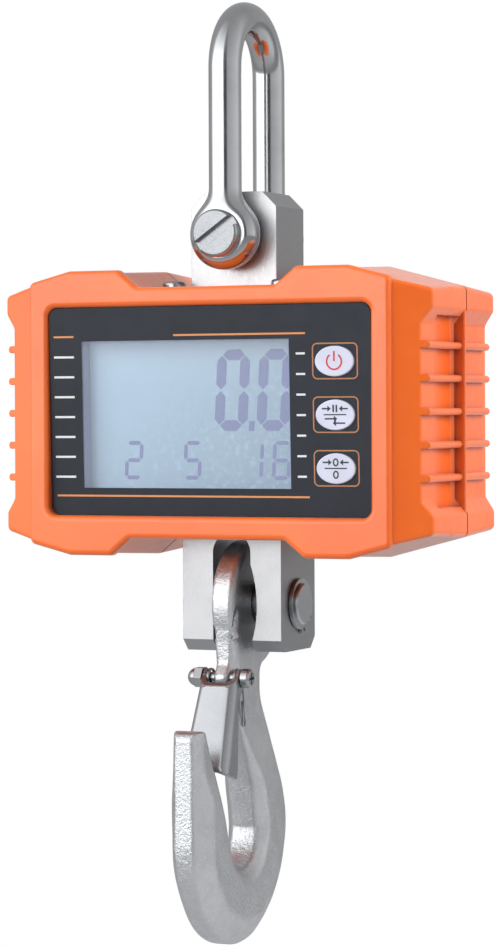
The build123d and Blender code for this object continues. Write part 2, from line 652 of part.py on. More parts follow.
def hook_pin():
    pin = rod_x(-CLEVIS_X, 23.2, 0, HOOK_PIN_Z, HOOK_PIN_R)
    pin = chamfer(pin.edges().sort_by(Axis.X)[-1], 0.6)
    head = rod_x(-CLEVIS_X - 3.3, -CLEVIS_X, 0, HOOK_PIN_Z, 10.5)
    head = fillet(head.edges().sort_by(Axis.X)[0], 1.2)
    groove = rod_x(CLIP_X0, CLIP_X0 + CLIP_T, 0, HOOK_PIN_Z, 12)
    groove = groove - rod_x(CLIP_X0, CLIP_X0 + CLIP_T, 0, HOOK_PIN_Z, HOOK_PIN_R - 0.8)
    return pin + head - groove


def hook_pin_clip():
    """External retaining ring in the pin's groove, open at one side."""
    ring = Circle(9.7) - Circle(HOOK_PIN_R - 0.8)
    gap = Rot(0, 0, -55) * Pos(9, 0) * Rectangle(10, 2.6)
    ring = ring - gap
    for turn in (-32, -78):
        ring = ring + Rot(0, 0, turn) * Pos(9.9, 0) * Circle(1.7)
        ring = ring - Rot(0, 0, turn) * Pos(10.0, 0) * Circle(0.7)
    clip = along_x(Pos(0, HOOK_PIN_Z) * ring, CLIP_X0, CLIP_X0 + CLIP_T)
    return clip


def bowl_point(centre, radius, angle):
    return (centre[0] + radius * cos(radians(angle)), centre[1] + radius * sin(radians(angle)))


def hook_outline():
    """Side view of the hook below its eye, drawn in Y and Z."""
    tip_y, tip_z = BOWL_C[0] - BOWL_R, -116.8
    bowl_left = bowl_point(BOWL_C, BOWL_R, 180)
    bowl_low = bowl_point(BOWL_C, BOWL_R, 285)
    back_end = bowl_point(BOWL_C, BOWL_R, 30)
    back_y = 1.2
    back_z = back_end[1] + (back_end[0] - back_y) / sin(radians(30)) * cos(radians(30))
    throat_right = bowl_point(THROAT_C, THROAT_R, 0)
    throat_low = bowl_point(THROAT_C, THROAT_R, 280)
    throat_end = bowl_point(THROAT_C, THROAT_R, 205)
    rise = tip_z + 0.4 - throat_end[1]
    tip_in = (throat_end[0] - rise * sin(radians(25)) / cos(radians(25)), tip_z + 0.4)
    boss_front = bowl_point(LATCH_PIVOT, LATCH_BOSS_R, 158)
    boss_mid = bowl_point(LATCH_PIVOT, LATCH_BOSS_R, 225)
    boss_low = bowl_point(LATCH_PIVOT, LATCH_BOSS_R, 275)
    line = Line((tip_y, tip_z), bowl_left)
    line = line + ThreePointArc(bowl_left, bowl_low, back_end)
    line = line + Polyline(back_end, (back_y, back_z), (back_y, -98.0), (12.5, -88.5),
                           (12.5, -76.0), (-22.0, -76.0), (-25.2, -83.0), (-24.6, -94.0), boss_front)
    line = line + ThreePointArc(boss_front, boss_mid, boss_low)
    line = line + Polyline(boss_low, (-20.5, -115.0), (-9.5, -139.5), throat_right)
    line = line + ThreePointArc(throat_right, throat_low, throat_end)
    line = line + Polyline(throat_end, tip_in, (tip_y, tip_z))
    face = make_face(line)
    rounded = [(back_y, back_z, 14.0), (back_y, -98.0, 5.0), (-20.5, -115.0, 14.0), (-9.5, -139.5, 20.0),
               (tip_in[0], tip_in[1], 2.2), (tip_y, tip_z, 3.2)]
    for y, z, r in rounded:
        face = fillet(corner(face, y, z), r)
    return face


def hook():
    """Forged hook: flat eye and shank, swelling into a thick bowl."""
    outline = hook_outline()
    plate = along_x(outline, -EYE_HALF, EYE_HALF)
    eye = rod_x(-EYE_HALF, EYE_HALF, EYE_Y, HOOK_PIN_Z, EYE_R)
    eye = fillet(eye.edges().filter_by(GeomType.CIRCLE), 1.4)
    zone = block(-20, 20, -80, 40, -210, BOWL_TOP_Z)
    zone = chamfer(zone.edges().filter_by(Axis.Y).sort_by(Axis.Z)[-2:], 16)
    bowl = along_x(outline, -BOWL_HALF, BOWL_HALF) & zone
    tip = along_x(outline, -TIP_HALF, TIP_HALF) & block(-20, 20, -80, TIP_BACK_Y, -210, TIP_TOP_Z)
    body = plate + eye + bowl + tip
    body = body - rod_x(-20, 20, 0, HOOK_PIN_Z, HOOK_BORE_R)
    return body - rod_x(-20, 20, *LATCH_PIVOT, LATCH_BOLT_R + 0.02)


def latch_side(half):
    """Side view of the latch, closed against the hook's tip."""
    py, pz = LATCH_PIVOT
    front = [(py - 8.2, pz - 2.6), (py - 20.6, pz - 33.6)]
    back = [(py - 9.4, pz - 37.2), (py - 3.4, pz - 4.0)]
    return Polygon(*front, *back, align=None)


def latch():
    """Folded sheet latch: a front plate between two flanges with round ears."""
    py, pz = LATCH_PIVOT
    w = LATCH_TOP_HALF
    body = latch_side(w)
    ear = Pos(py, pz) * Circle(3.4)
    neck = Polygon((py - 8.2, pz - 2.6), (py - 3.4, pz - 8.0), (py + 3.2, pz - 1.2), (py - 3.0, pz + 1.6), align=None)
    side = body + ear + neck
    channel = along_x(side, -LATCH_LOW_HALF, LATCH_LOW_HALF)
    # the flanges spread slightly towards the foot of the latch
    taper = [(-w, pz + 10), (w, pz + 10), (w, pz - 4), (LATCH_LOW_HALF, pz - 34), (LATCH_LOW_HALF, pz - 44),
             (-LATCH_LOW_HALF, pz - 44), (-LATCH_LOW_HALF, pz - 34), (-w, pz - 4)]
    envelope = along_y(Polygon(*taper, align=None), py - 40, py + 20)
    t = LATCH_SHEET
    inner_taper = [(x - t if x > 0 else x + t, z) for x, z in taper]
    hollow = along_y(Polygon(*inner_taper, align=None), py - 40, py + 20)
    behind = Pos(t * 1.08, 0) * Polygon((py - 8.2, pz - 2.6), (py - 20.6, pz - 33.6), (py + 30, pz - 60),
                                        (py + 30, pz + 20), (py - 8.2, pz + 20), align=None)
    above = block(-20, 20, py - 40, py + 30, pz - 2.6, pz + 30)
    hollow_zone = along_x(behind, -20, 20) + above
    shape = (channel & envelope) - (hollow & hollow_zone)
    return shape - rod_x(-20, 20, py, pz, LATCH_BOLT_R + 0.06)


def latch_spring():
    """Torsion spring: round turns on both sides of the hook and a leg behind."""
    py, pz = LATCH_PIVOT
    turns = []
    for side in (-1, 1):
        for row in (0, 1):
            x = side * (EYE_HALF + 0.5 + row * 0.74)
            turns.append(Pos(x, py, pz) * Rot(0, 90, 0) * Torus(SPRING_R, SPRING_WIRE_R))
    spring = turns[0] + turns[1]
    other = turns[2] + turns[3]
    x_leg = EYE_HALF + 0.5
    leg = Line((x_leg, py + SPRING_R, pz), (x_leg, py + 7.0, pz - 18.0))
    start = Plane(origin=leg @ 0, z_dir=leg % 0)
    other = other + sweep(start * Circle(SPRING_WIRE_R), path=leg)
    return Compound(children=[spring, other])


def latch_bolt():
    py, pz = LATCH_PIVOT
    head_x = LATCH_TOP_HALF + 0.3
    bolt = rod_x(-head_x - 4.6, head_x, py, pz, LATCH_BOLT_R)
    head = rod_x(head_x, head_x + 3.4, py, pz, 3.6)
    head = fillet(head.edges().sort_by(Axis.X)[-1], 1.3)
    bolt = bolt + head
    bolt = bolt - block(head_x + 1.8, head_x + 4, py - 2.3, py + 2.3, pz - 0.5, pz + 0.5)
    return bolt - block(head_x + 1.8, head_x + 4, py - 0.5, py + 0.5, pz - 2.3, pz + 2.3)


def latch_nut():
    py, pz = LATCH_PIVOT
    x1 = -LATCH_TOP_HALF - 0.3
    hexagon = along_x(Pos(py, pz) * RegularPolygon(4.2, 6), x1 - 3.2, x1)
    dome = Pos(x1 - 3.2, py, pz) * Sphere(3.5)
    dome = dome & block(x1 - 8, x1 - 3.1, py - 5, py + 5, pz - 5, pz + 5)
    nut = hexagon + dome
    return nut - rod_x(x1 - 4.8, x1 + 1, py, pz, LATCH_BOLT_R)


def main():
    save("front_shell", front_shell())
    save("rear_shell", rear_shell())
    save("shell_gasket", shell_gasket())
    save("shell_screws", shell_screws())
    save("top_seal", top_seal())
    save("bottom_seal", bottom_seal())
    save("top_screws", top_screws())
    save("display_overlay", display_overlay())
    save("display_frame", display_frame())
    save("lcd_window", lcd_window())
    save("lcd_holder", lcd_holder())
    save("lcd_glass", lcd_glass())
    save("lcd_backlight", lcd_backlight())
    save("main_board", main_board())
    save("board_screws", board_screws())
    save("control_chips", control_chip())
    save("buzzer", buzzer())
    save("key_switches", key_switches())
    for name, z in zip(("power_key", "hold_key", "tare_key"), key_places()):
        save(name, panel_key(z))
    save("battery_box", battery_box())
    save("battery_cells", battery_cells())
    save("battery_contacts", battery_contacts())
    save("battery_cover", battery_cover())
    save("battery_cover_gasket", battery_cover_gasket())
    save("battery_cover_screws", battery_cover_screws())
    save("load_beam", load_beam())
    save("gauge_covers", gauge_covers())
    save("strain_gauges", strain_gauges())
    save("gauge_lead", gauge_lead())
    save("shackle_bow", shackle_bow())
    save("shackle_pin", shackle_pin())
    save("hook_pin", hook_pin())
    save("hook_pin_clip", hook_pin_clip())
    save("hook", hook())
    save("latch", latch())
    save("latch_spring", latch_spring())
    save("latch_bolt", latch_bolt())
    save("latch_nut", latch_nut())


main()
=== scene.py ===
"""Looks of the digital crane scale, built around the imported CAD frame.

The housing, its screws, the display parts and the steel block keep their CAD shape and get
procedural materials. The shackle bow, the forged hook, the sheet latch and its spring are
modelled here as smooth meshes from distance fields. The marks printed on the panel, the
pictograms on the keys and the segments of the display are thin pieces of their own.

Lengths are in millimetres from the middle of the housing (X right, Y back, Z up),
and mm() turns them into the frame's metres.
"""
import math

import bpy
import numpy as np
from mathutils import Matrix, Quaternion, Vector


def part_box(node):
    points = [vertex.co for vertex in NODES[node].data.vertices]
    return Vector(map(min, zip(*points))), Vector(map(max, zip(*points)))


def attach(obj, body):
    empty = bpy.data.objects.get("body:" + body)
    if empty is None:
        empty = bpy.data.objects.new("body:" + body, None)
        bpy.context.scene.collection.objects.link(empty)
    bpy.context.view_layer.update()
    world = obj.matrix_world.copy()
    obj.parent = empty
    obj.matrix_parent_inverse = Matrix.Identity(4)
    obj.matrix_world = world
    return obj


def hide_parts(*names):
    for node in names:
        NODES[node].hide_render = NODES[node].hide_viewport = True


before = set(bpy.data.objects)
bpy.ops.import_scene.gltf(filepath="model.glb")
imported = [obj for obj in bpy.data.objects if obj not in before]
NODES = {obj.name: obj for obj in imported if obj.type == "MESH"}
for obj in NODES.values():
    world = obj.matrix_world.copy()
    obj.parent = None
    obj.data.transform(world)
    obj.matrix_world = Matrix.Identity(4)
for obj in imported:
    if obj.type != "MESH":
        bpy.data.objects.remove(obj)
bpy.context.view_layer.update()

# ---- the housing's middle, from the frame ----
SHELL_LOW, SHELL_HIGH = (np.array(c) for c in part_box("front_shell"))
CENTRE = np.array([0.0, 0.0, (SHELL_LOW[2] + SHELL_HIGH[2]) / 2])
MM = 0.001


def mm(points):
    """Housing millimetres to frame metres."""
    return np.asarray(points, float) * MM + CENTRE


def node_middle(name):
    """Middle of a CAD node in housing millimetres."""
    low, high = (np.array(c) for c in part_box(name))
    return ((low + high) / 2 - CENTRE) / MM


# ---- driving dimensions, the same as in the CAD ----
SHACKLE_PIN_Z = node_middle("shackle_pin")[2]
BAR_R = 6.2
BOW_Y = 20.9
BOW_CENTRE_Z = 129.5
EAR_R, EAR_T, EAR_Y = 13.4, 12.0, 21.2
EAR_ROUND = 4.6
SHACKLE_BORE_R = 6.4

HOOK_PIN_Z = node_middle("hook_pin")[2]
HOOK_BORE_R = 8.1
EYE_R, EYE_Y = 24.0, -3.0
BOWL_C, BOWL_R = (-19.0, -157.5), 42.2
THROAT_C, THROAT_R = (-19.5, -157.5), 14.0
TIP_Z = -116.8
BACK_Y = 1.2
BACK_LEAN = math.radians(30)
THROAT_LEAN = math.radians(25)
LATCH_PIVOT = (-24.0, -99.5)
LATCH_BOSS_R = 3.9
LATCH_BOLT_R = 2.0
LATCH_SHEET = 1.2
LATCH_TOP_HALF, LATCH_LOW_HALF = 7.6, 9.4
SPRING_WIRE_R, SPRING_R = 0.42, 3.2
SPRING_TURNS, SPRING_X, SPRING_PITCH = 2.25, 5.02, 0.34


# ======================================================================
# distance fields: every function takes points in millimetres
# ======================================================================
def smooth_max(a, b, k):
    """Larger of two distances, with the edge between them rounded over k."""
    h = np.clip(k - np.abs(a - b), 0, None)
    return np.maximum(a, b) + h * h / (4 * k)


def smooth_min(a, b, k):
    """Smaller of two distances, with the crease between them filled over k."""
    return -smooth_max(-a, -b, k)


def arc(centre, radius, start, end, count=60):
    """Points on an arc, angles in degrees from +Y towards +Z."""
    a = np.radians(np.linspace(start, end, count))
    return [(centre[0] + radius * math.cos(t), centre[1] + radius * math.sin(t)) for t in a]


def rounded_path(corners, closed=True, steps=14):
    """Polyline through corners given as (y, z) or (y, z, radius), each radius rounded off."""
    out = []
    n = len(corners)
    for i, c in enumerate(corners):
        radius = c[2] if len(c) > 2 else 0.0
        here = np.array(c[:2], float)
        if radius <= 0 or (not closed and i in (0, n - 1)):
            out.append(tuple(here))
            continue
        before = np.array(corners[i - 1][:2], float) - here
        after = np.array(corners[(i + 1) % n][:2], float) - here
        before /= np.linalg.norm(before)
        after /= np.linalg.norm(after)
        half = math.acos(np.clip(before @ after, -1, 1)) / 2
        reach = radius / math.tan(half)
        middle = (before + after) / np.linalg.norm(before + after)
        centre = here + middle * radius / math.sin(half)
        a, b = here + before * reach - centre, here + after * reach - centre
        for t in np.linspace(0, 1, steps):
            d = a * (1 - t) + b * t
            out.append(tuple(centre + d / np.linalg.norm(d) * radius))
    return out


def path_distance(y, z, path, closed=False):
    """Unsigned distance from (y, z) to a polyline, and whether each point is inside it."""
    pts = np.array(path, float)
    ends = np.roll(pts, -1, axis=0) if closed else pts[1:]
    starts = pts if closed else pts[:-1]
    p = np.stack([y.ravel(), z.ravel()], 1)
    best = np.full(len(p), 1e9)
    inside = np.zeros(len(p), bool)
    for a, b in zip(starts, ends):
        ab = b - a
        ap = p - a
        t = np.clip(ap @ ab / max(ab @ ab, 1e-12), 0, 1)
        d = np.hypot(ap[:, 0] - t * ab[0], ap[:, 1] - t * ab[1])
        best = np.minimum(best, d)
        if closed and a[1] != b[1]:
            crosses = (a[1] > p[:, 1]) != (b[1] > p[:, 1])
            at = a[0] + (p[:, 1] - a[1]) / (b[1] - a[1]) * ab[0]
            inside ^= crosses & (p[:, 0] < at)
    return best.reshape(y.shape), inside.reshape(y.shape)


def outline_distance(y, z, path):
    """Signed distance to a closed outline, negative inside."""
    d, inside = path_distance(y, z, path, closed=True)
    return np.where(inside, -d, d)


def surface_net(field, low, high, step, refine=4):
    """Quad mesh of field = 0: naive surface nets, then Newton steps onto the field itself."""
    axes = [np.arange(low[i], high[i] + step, step) for i in range(3)]
    grid = np.meshgrid(*axes, indexing="ij")
    value = field(*grid)
    inside = value < 0
    shape = tuple(n - 1 for n in value.shape)
    total = np.zeros(shape + (3,))
    count = np.zeros(shape)
    corner = [(i, j, k) for i in (0, 1) for j in (0, 1) for k in (0, 1)]
    base = np.stack([g[:-1, :-1, :-1] for g in grid], -1)

    def cut(c):
        return tuple(slice(c[i], c[i] + shape[i]) for i in range(3))

    for a in corner:
        for axis in range(3):
            if a[axis]:
                continue
            b = tuple(a[i] + (i == axis) for i in range(3))
            va, vb = value[cut(a)], value[cut(b)]
            crossing = (va < 0) != (vb < 0)
            t = np.where(crossing, va / np.where(crossing, va - vb, 1), 0)
            spot = np.array(a, float) * np.ones(shape + (3,))
            spot[..., axis] += t
            total += np.where(crossing[..., None], spot, 0)
            count += crossing
    used = count > 0
    index = np.full(shape, -1)
    index[used] = np.arange(used.sum())
    verts = base[used] + total[used] / count[used][:, None] * step
    quads = []
    for axis in range(3):
        u, v = [i for i in range(3) if i != axis]
        sl_a = [slice(1, -1)] * 3
        sl_a[axis] = slice(0, -1)
        sl_b = [slice(1, -1)] * 3
        sl_b[axis] = slice(1, None)
        ina, inb = inside[tuple(sl_a)], inside[tuple(sl_b)]
        where = np.argwhere(ina != inb)
        flip = ina[tuple(where.T)]
        where = where + 1
        where[:, axis] -= 1

        def cell(du, dv):
            c = where.copy()
            c[:, u] += du
            c[:, v] += dv
            return index[tuple(c.T)]

        quad = np.stack([cell(-1, -1), cell(0, -1), cell(0, 0), cell(-1, 0)], 1)
        turn = flip if axis != 1 else ~flip
        quad[~turn] = quad[~turn][:, ::-1]
        quads.append(quad)
    quads = np.concatenate(quads)
    quads = quads[(quads >= 0).all(axis=1)]
    for _ in range(refine):
        g, f = gradient(field, verts)
        verts -= g * (f / np.maximum((g * g).sum(1), 1e-6))[:, None].clip(-step, step)
    g, _ = gradient(field, verts)
    normals = g / np.maximum(np.linalg.norm(g, axis=1), 1e-9)[:, None]
    return verts, quads, normals


def gradient(field, p, h=0.05):
    """Gradient and value of a field at points p, by forward differences."""
    f = field(p[:, 0], p[:, 1], p[:, 2])
    g = np.zeros_like(p)
    for i in range(3):
        q = p.copy()
        q[:, i] += h
        g[:, i] = (field(q[:, 0], q[:, 1], q[:, 2]) - f) / h
    return g, f


# ======================================================================
# mesh helpers
# ======================================================================
def piece(name, verts, faces, body, material, normals=None, smooth=True):
    """Mesh object in metres that rides on a CAD body."""
    mesh = bpy.data.meshes.new(name)
    mesh.from_pydata([tuple(v) for v in mm(verts)], [], [tuple(int(i) for i in f) for f in faces])
    mesh.validate()
    if smooth:
        mesh.polygons.foreach_set("use_smooth", [True] * len(mesh.polygons))
    if normals is not None and len(mesh.vertices) == len(normals):
        mesh.normals_split_custom_set_from_vertices([tuple(n) for n in normals])
    obj = bpy.data.objects.new(name, mesh)
    bpy.context.scene.collection.objects.link(obj)
    mesh.materials.append(material)
    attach(obj, body)
    return obj


def tube(path, radius, sides=12):
    """Round wire along a path: parallel rings with closed ends."""
    p = np.array(path, float)
    tangent = np.gradient(p, axis=0)
    tangent /= np.linalg.norm(tangent, axis=1)[:, None]
    side = np.cross(tangent[0], [0.3, 0.5, 0.8])
    verts, faces = [], []
    for i, t in enumerate(tangent):
        side = side - t * (side @ t)
        side /= np.linalg.norm(side)
        other = np.cross(t, side)
        for k in range(sides):
            a = 2 * math.pi * k / sides
            verts.append(p[i] + radius * (math.cos(a) * side + math.sin(a) * other))
    for i in range(len(p) - 1):
        for k in range(sides):
            n = (k + 1) % sides
            faces.append((i * sides + k, i * sides + n, (i + 1) * sides + n, (i + 1) * sides + k))
    faces.append(tuple(range(sides))[::-1])
    faces.append(tuple((len(p) - 1) * sides + k for k in range(sides)))
    return verts, faces


# ======================================================================
# materials
# ======================================================================
def srgb(r, g, b):
    """0-255 screen colour to a linear RGBA colour."""
    def lin(c):
        c = c / 255
        return c / 12.92 if c <= 0.04045 else ((c + 0.055) / 1.055) ** 2.4
    return (lin(r), lin(g), lin(b), 1.0)


def shade(colour, factor):
    """Colour made lighter or darker by a factor."""
    return tuple(min(1.0, c * factor) for c in colour[:3]) + (1.0,)


class Finish:
    """A principled material whose colour, roughness and bump can be layered up node by node."""

    def __init__(self, name, colour, metallic=0.0, roughness=0.5, **sockets):
        self.mat = bpy.data.materials.new(name)
        self.mat.use_nodes = True
        self.tree = self.mat.node_tree
        self.shader = self.tree.nodes["Principled BSDF"]
        self.colour = colour
        self.roughness = roughness
        self.normal = None
        self.shader.inputs["Base Color"].default_value = colour
        self.shader.inputs["Metallic"].default_value = metallic
        self.shader.inputs["Roughness"].default_value = roughness
        for key, value in sockets.items():
            self.shader.inputs[key.replace("_", " ")].default_value = value
        self.coord = self.node("ShaderNodeTexCoord").outputs["Object"]

    def node(self, kind, **inputs):
        """New node with input sockets set by name."""
        n = self.tree.nodes.new(kind)
        for key, value in inputs.items():
            n.inputs[key].default_value = value
        return n

    def link(self, a, b):
        self.tree.links.new(a, b)

    def noise(self, scale, detail=2.0, stretch=None, rough=0.5):
        """Noise of about 1/scale metres, stretched along an axis for brushing."""
        n = self.node("ShaderNodeTexNoise", Scale=scale, Detail=detail, Roughness=rough)
        if stretch:
            m = self.node("ShaderNodeMapping")
            m.inputs["Scale"].default_value = stretch
            self.link(self.coord, m.inputs["Vector"])
            self.link(m.outputs["Vector"], n.inputs["Vector"])
        else:
            self.link(self.coord, n.inputs["Vector"])
        return n.outputs["Fac"]

    def spread(self, value, low, high, out_low=0.0, out_high=1.0):
        n = self.node("ShaderNodeMapRange")
        n.inputs["From Min"].default_value = low
        n.inputs["From Max"].default_value = high
        n.inputs["To Min"].default_value = out_low
        n.inputs["To Max"].default_value = out_high
        self.link(value, n.inputs["Value"])
        return n.outputs["Result"]

    def tint(self, mask, other, low=0.35, high=0.65):
        """Blend the colour towards another where mask is high."""
        mix = self.node("ShaderNodeMix")
        mix.data_type = "RGBA"
        self.link(self.spread(mask, low, high), mix.inputs[0])
        current = self.shader.inputs["Base Color"]
        if current.is_linked:
            self.link(current.links[0].from_socket, mix.inputs[6])
        else:
            mix.inputs[6].default_value = self.colour
        mix.inputs[7].default_value = other
        self.link(mix.outputs[2], current)
        return self

    def gloss(self, mask, low, high):
        """Roughness that runs from low to high with mask."""
        self.link(self.spread(mask, 0.3, 0.7, low, high), self.shader.inputs["Roughness"])
        return self

    def bump(self, height, depth_mm, strength=1.0):
        n = self.node("ShaderNodeBump", Strength=strength, Distance=depth_mm * MM)
        self.link(height, n.inputs["Height"])
        if self.normal is not None:
            self.link(self.normal, n.inputs["Normal"])
        self.normal = n.outputs["Normal"]
        self.link(self.normal, self.shader.inputs["Normal"])
        return self

    def round_edges(self, radius_mm, samples=6):
        """Light catches on edges as if they were broken by a small radius."""
        n = self.node("ShaderNodeBevel", Radius=radius_mm * MM)
        n.samples = samples
        self.normal = n.outputs["Normal"]
        self.link(self.normal, self.shader.inputs["Normal"])
        return self

    def crevice_shade_mask(self, reach_mm, samples=6):
        """Mask of hollows for painted shade: high where surfaces within reach close in on a point."""
        n = self.node("ShaderNodeAmbientOcclusion", Distance=reach_mm * MM)
        n.samples = samples
        invert = self.node("ShaderNodeMath")
        invert.operation = "SUBTRACT"
        invert.inputs[0].default_value = 1.0
        self.link(n.outputs["AO"], invert.inputs[1])
        return invert.outputs[0]

    def facing(self, axis, low, high):
        """Mask of the faces whose object-space normal points along an axis."""
        coords = self.node("ShaderNodeTexCoord")
        dot = self.node("ShaderNodeVectorMath")
        dot.operation = "DOT_PRODUCT"
        self.link(coords.outputs["Normal"], dot.inputs[0])
        dot.inputs[1].default_value = axis
        return self.spread(dot.outputs["Value"], low, high)


def orange_paint():
    f = Finish("orange_paint", srgb(232, 97, 8), roughness=0.34, Coat_Weight=0.8, Coat_Roughness=0.2,
               Sheen_Weight=0.22, Sheen_Roughness=0.35)
    f.round_edges(0.9)
    f.bump(f.noise(700, 2.0), 0.035, 0.5)
    f.bump(f.noise(90, 2.0), 0.12, 0.35)
    f.tint(f.noise(22, 3.0), srgb(238, 106, 14), 0.4, 0.7)
    # painted shade: the paint turns deep red in hollows, recesses and creases, where shade falls
    f.tint(f.crevice_shade_mask(7.0), srgb(128, 26, 4), 0.25, 0.85)
    f.gloss(f.noise(260, 4.0), 0.28, 0.42)
    return f.mat


def rubber():
    f = Finish("rubber", srgb(26, 26, 28), roughness=0.72)
    f.bump(f.noise(1600, 4.0), 0.03, 0.5)
    f.tint(f.noise(120, 3.0), srgb(44, 43, 44))
    f.gloss(f.noise(300, 3.0), 0.6, 0.82)
    return f.mat


def steel(name, colour, roughness, brush=None, brush_depth=0.02, grain=1500.0, edge=0.25, side=None):
    """Machined steel: brushing along one axis, faint blotches, bright broken edges; the side colour, if
    given, is painted onto faces turned right and downward, standing in for how light falls there.
    """
    f = Finish(name, colour, metallic=1.0, roughness=roughness)
    if edge:
        f.round_edges(edge)
    # painted light and shade: faces turned to the right and downward take the side colour
    if side is not None:
        f.tint(f.facing((1.0, 0.0, 0.0), 0.45, 0.9), side, 0.0, 1.0)
        f.tint(f.facing((0.0, 0.0, -1.0), 0.3, 0.7), side, 0.0, 1.0)
    if brush:
        f.bump(f.noise(900, 3.0, stretch=brush), brush_depth, 0.7)
        f.gloss(f.noise(700, 2.0, stretch=brush), roughness * 0.75, roughness * 1.3)
    else:
        f.gloss(f.noise(240, 4.0), roughness * 0.8, roughness * 1.25)
    f.bump(f.noise(grain, 3.0), 0.012, 0.5)
    f.tint(f.noise(60, 4.0), shade(colour, 0.86), 0.45, 0.75)
    return f.mat


def forged_steel():
    """Shot-blasted and galvanised forging: coarse sand grain over slow unevenness."""
    f = Finish("forged_steel", srgb(212, 214, 217), metallic=1.0, roughness=0.34)
    f.bump(f.noise(75, 3.0), 0.25, 0.25)
    f.bump(f.noise(800, 3.0, rough=0.6), 0.30, 0.8)
    f.bump(f.noise(1900, 2.0), 0.14, 0.8)
    f.tint(f.noise(110, 5.0, rough=0.65), srgb(200, 203, 207), 0.42, 0.72)
    f.tint(f.noise(900, 3.0), srgb(228, 229, 231), 0.58, 0.78)
    f.gloss(f.noise(320, 4.0), 0.28, 0.44)
    return f.mat


def moulded(name, colour, roughness=0.45, grain=1300.0, depth=0.03, **sockets):
    """Injection-moulded plastic or coated film with a fine even grain."""
    f = Finish(name, colour, roughness=roughness, **sockets)
    f.round_edges(0.15)
    f.bump(f.noise(grain, 3.0), depth, 0.45)
    f.tint(f.noise(70, 4.0), shade(colour, 1.12), 0.4, 0.7)
    f.gloss(f.noise(200, 3.0), roughness * 0.85, roughness * 1.2)
    return f.mat


def lcd_face(light, dark):
    """Reflective display with painted light and shade: lightest at the upper left, darkening to the lower
    right, under a faint pixel film.
    """
    f = Finish("lcd_grey", light, roughness=0.42, Coat_Weight=0.25, Coat_Roughness=0.1)
    f.bump(f.noise(2600, 1.0), 0.006, 0.3)
    # painted shade: the colour darkens from the upper left towards the lower right
    split = f.node("ShaderNodeSeparateXYZ")
    f.link(f.coord, split.inputs[0])
    low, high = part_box("lcd_glass")
    across = f.spread(split.outputs["X"], low[0], high[0], 0.0, 0.6)
    down = f.spread(split.outputs["Z"], high[2], low[2], 0.0, 0.4)
    add = f.node("ShaderNodeMath")
    f.link(across, add.inputs[0])
    f.link(down, add.inputs[1])
    f.tint(add.outputs[0], dark, 0.05, 1.0)
    f.tint(f.noise(500, 2.0), shade(light, 0.94), 0.5, 0.9)
    return f.mat


def circuit_board():
    f = Finish("board_green", srgb(24, 84, 48), roughness=0.4, Coat_Weight=0.3)
    f.bump(f.noise(900, 1.0, stretch=(6, 1, 1)), 0.03, 0.5)
    f.tint(f.noise(300, 1.0, stretch=(8, 1, 1)), srgb(46, 120, 70), 0.52, 0.58)
    f.gloss(f.noise(500, 2.0), 0.3, 0.5)
    return f.mat


def clear_window():
    f = Finish("clear_window", srgb(240, 246, 250), roughness=0.06, Alpha=0.10, IOR=1.49)
    f.gloss(f.noise(60, 3.0), 0.04, 0.09)
    f.bump(f.noise(40, 2.0), 0.01, 0.2)
    return f.mat


def ink(name, colour, roughness=0.5):
    """Screen-printed ink or a display segment: flat, with a trace of print grain."""
    f = Finish(name, colour, roughness=roughness)
    f.bump(f.noise(3000, 2.0), 0.006, 0.4)
    f.tint(f.noise(900, 2.0), shade(colour, 0.9), 0.45, 0.8)
    return f.mat


BRUSH_UP = (14.0, 14.0, 1.0)
BRUSH_ACROSS = (1.0, 14.0, 14.0)

SLOT_MATERIALS = {
    "orange_paint": orange_paint(),
    "rubber": rubber(),
    "screw_steel": steel("screw_steel", srgb(176, 177, 179), 0.24, brush=BRUSH_ACROSS),
    "overlay_charcoal": moulded("overlay_charcoal", srgb(34, 38, 46), 0.4, Specular_IOR_Level=0.25),
    "black_plastic": moulded("black_plastic", srgb(24, 25, 28), 0.5),
    "clear_window": clear_window(),
    "lcd_grey": lcd_face(srgb(160, 188, 214), srgb(112, 142, 162)),
    "backlight_white": moulded("backlight_white", srgb(226, 230, 232), 0.5),
    "board_green": circuit_board(),
    "key_white": moulded("key_white", srgb(198, 200, 218), 0.5, grain=900.0),
    "battery_jacket": moulded("battery_jacket", srgb(38, 60, 110), 0.35),
    "contact_nickel": steel("contact_nickel", srgb(200, 196, 186), 0.25),
    # the side colour is painted shade on the block's right and lower faces
    "beam_steel": steel("beam_steel", srgb(190, 191, 193), 0.36, brush=BRUSH_UP, side=srgb(172, 174, 177)),
    "gauge_amber": moulded("gauge_amber", srgb(178, 112, 34), 0.3),
    "polished_steel": steel("polished_steel", srgb(190, 192, 195), 0.15, grain=500.0, edge=0),
    # the side colour is painted light on the pin's right and lower faces
    "pin_steel": steel("pin_steel", srgb(144, 146, 149), 0.26, brush=BRUSH_ACROSS, side=srgb(196, 198, 201)),
    "forged_steel": forged_steel(),
    "latch_steel": steel("latch_steel", srgb(172, 174, 178), 0.28, brush=BRUSH_ACROSS, edge=0),
}


def dress_cad_nodes():
    """Each CAD node gets its slot's material, and the plastic round the display its own."""
    for node in NODES.values():
        for s in node.material_slots:
            s.material = SLOT_MATERIALS[s.material.name.split(".")[0]]
    margin = moulded("lcd_margin", srgb(122, 136, 176), 0.5)
    for name in ("lcd_holder", "display_frame"):
        for s in NODES[name].material_slots:
            s.material = margin


dress_cad_nodes()


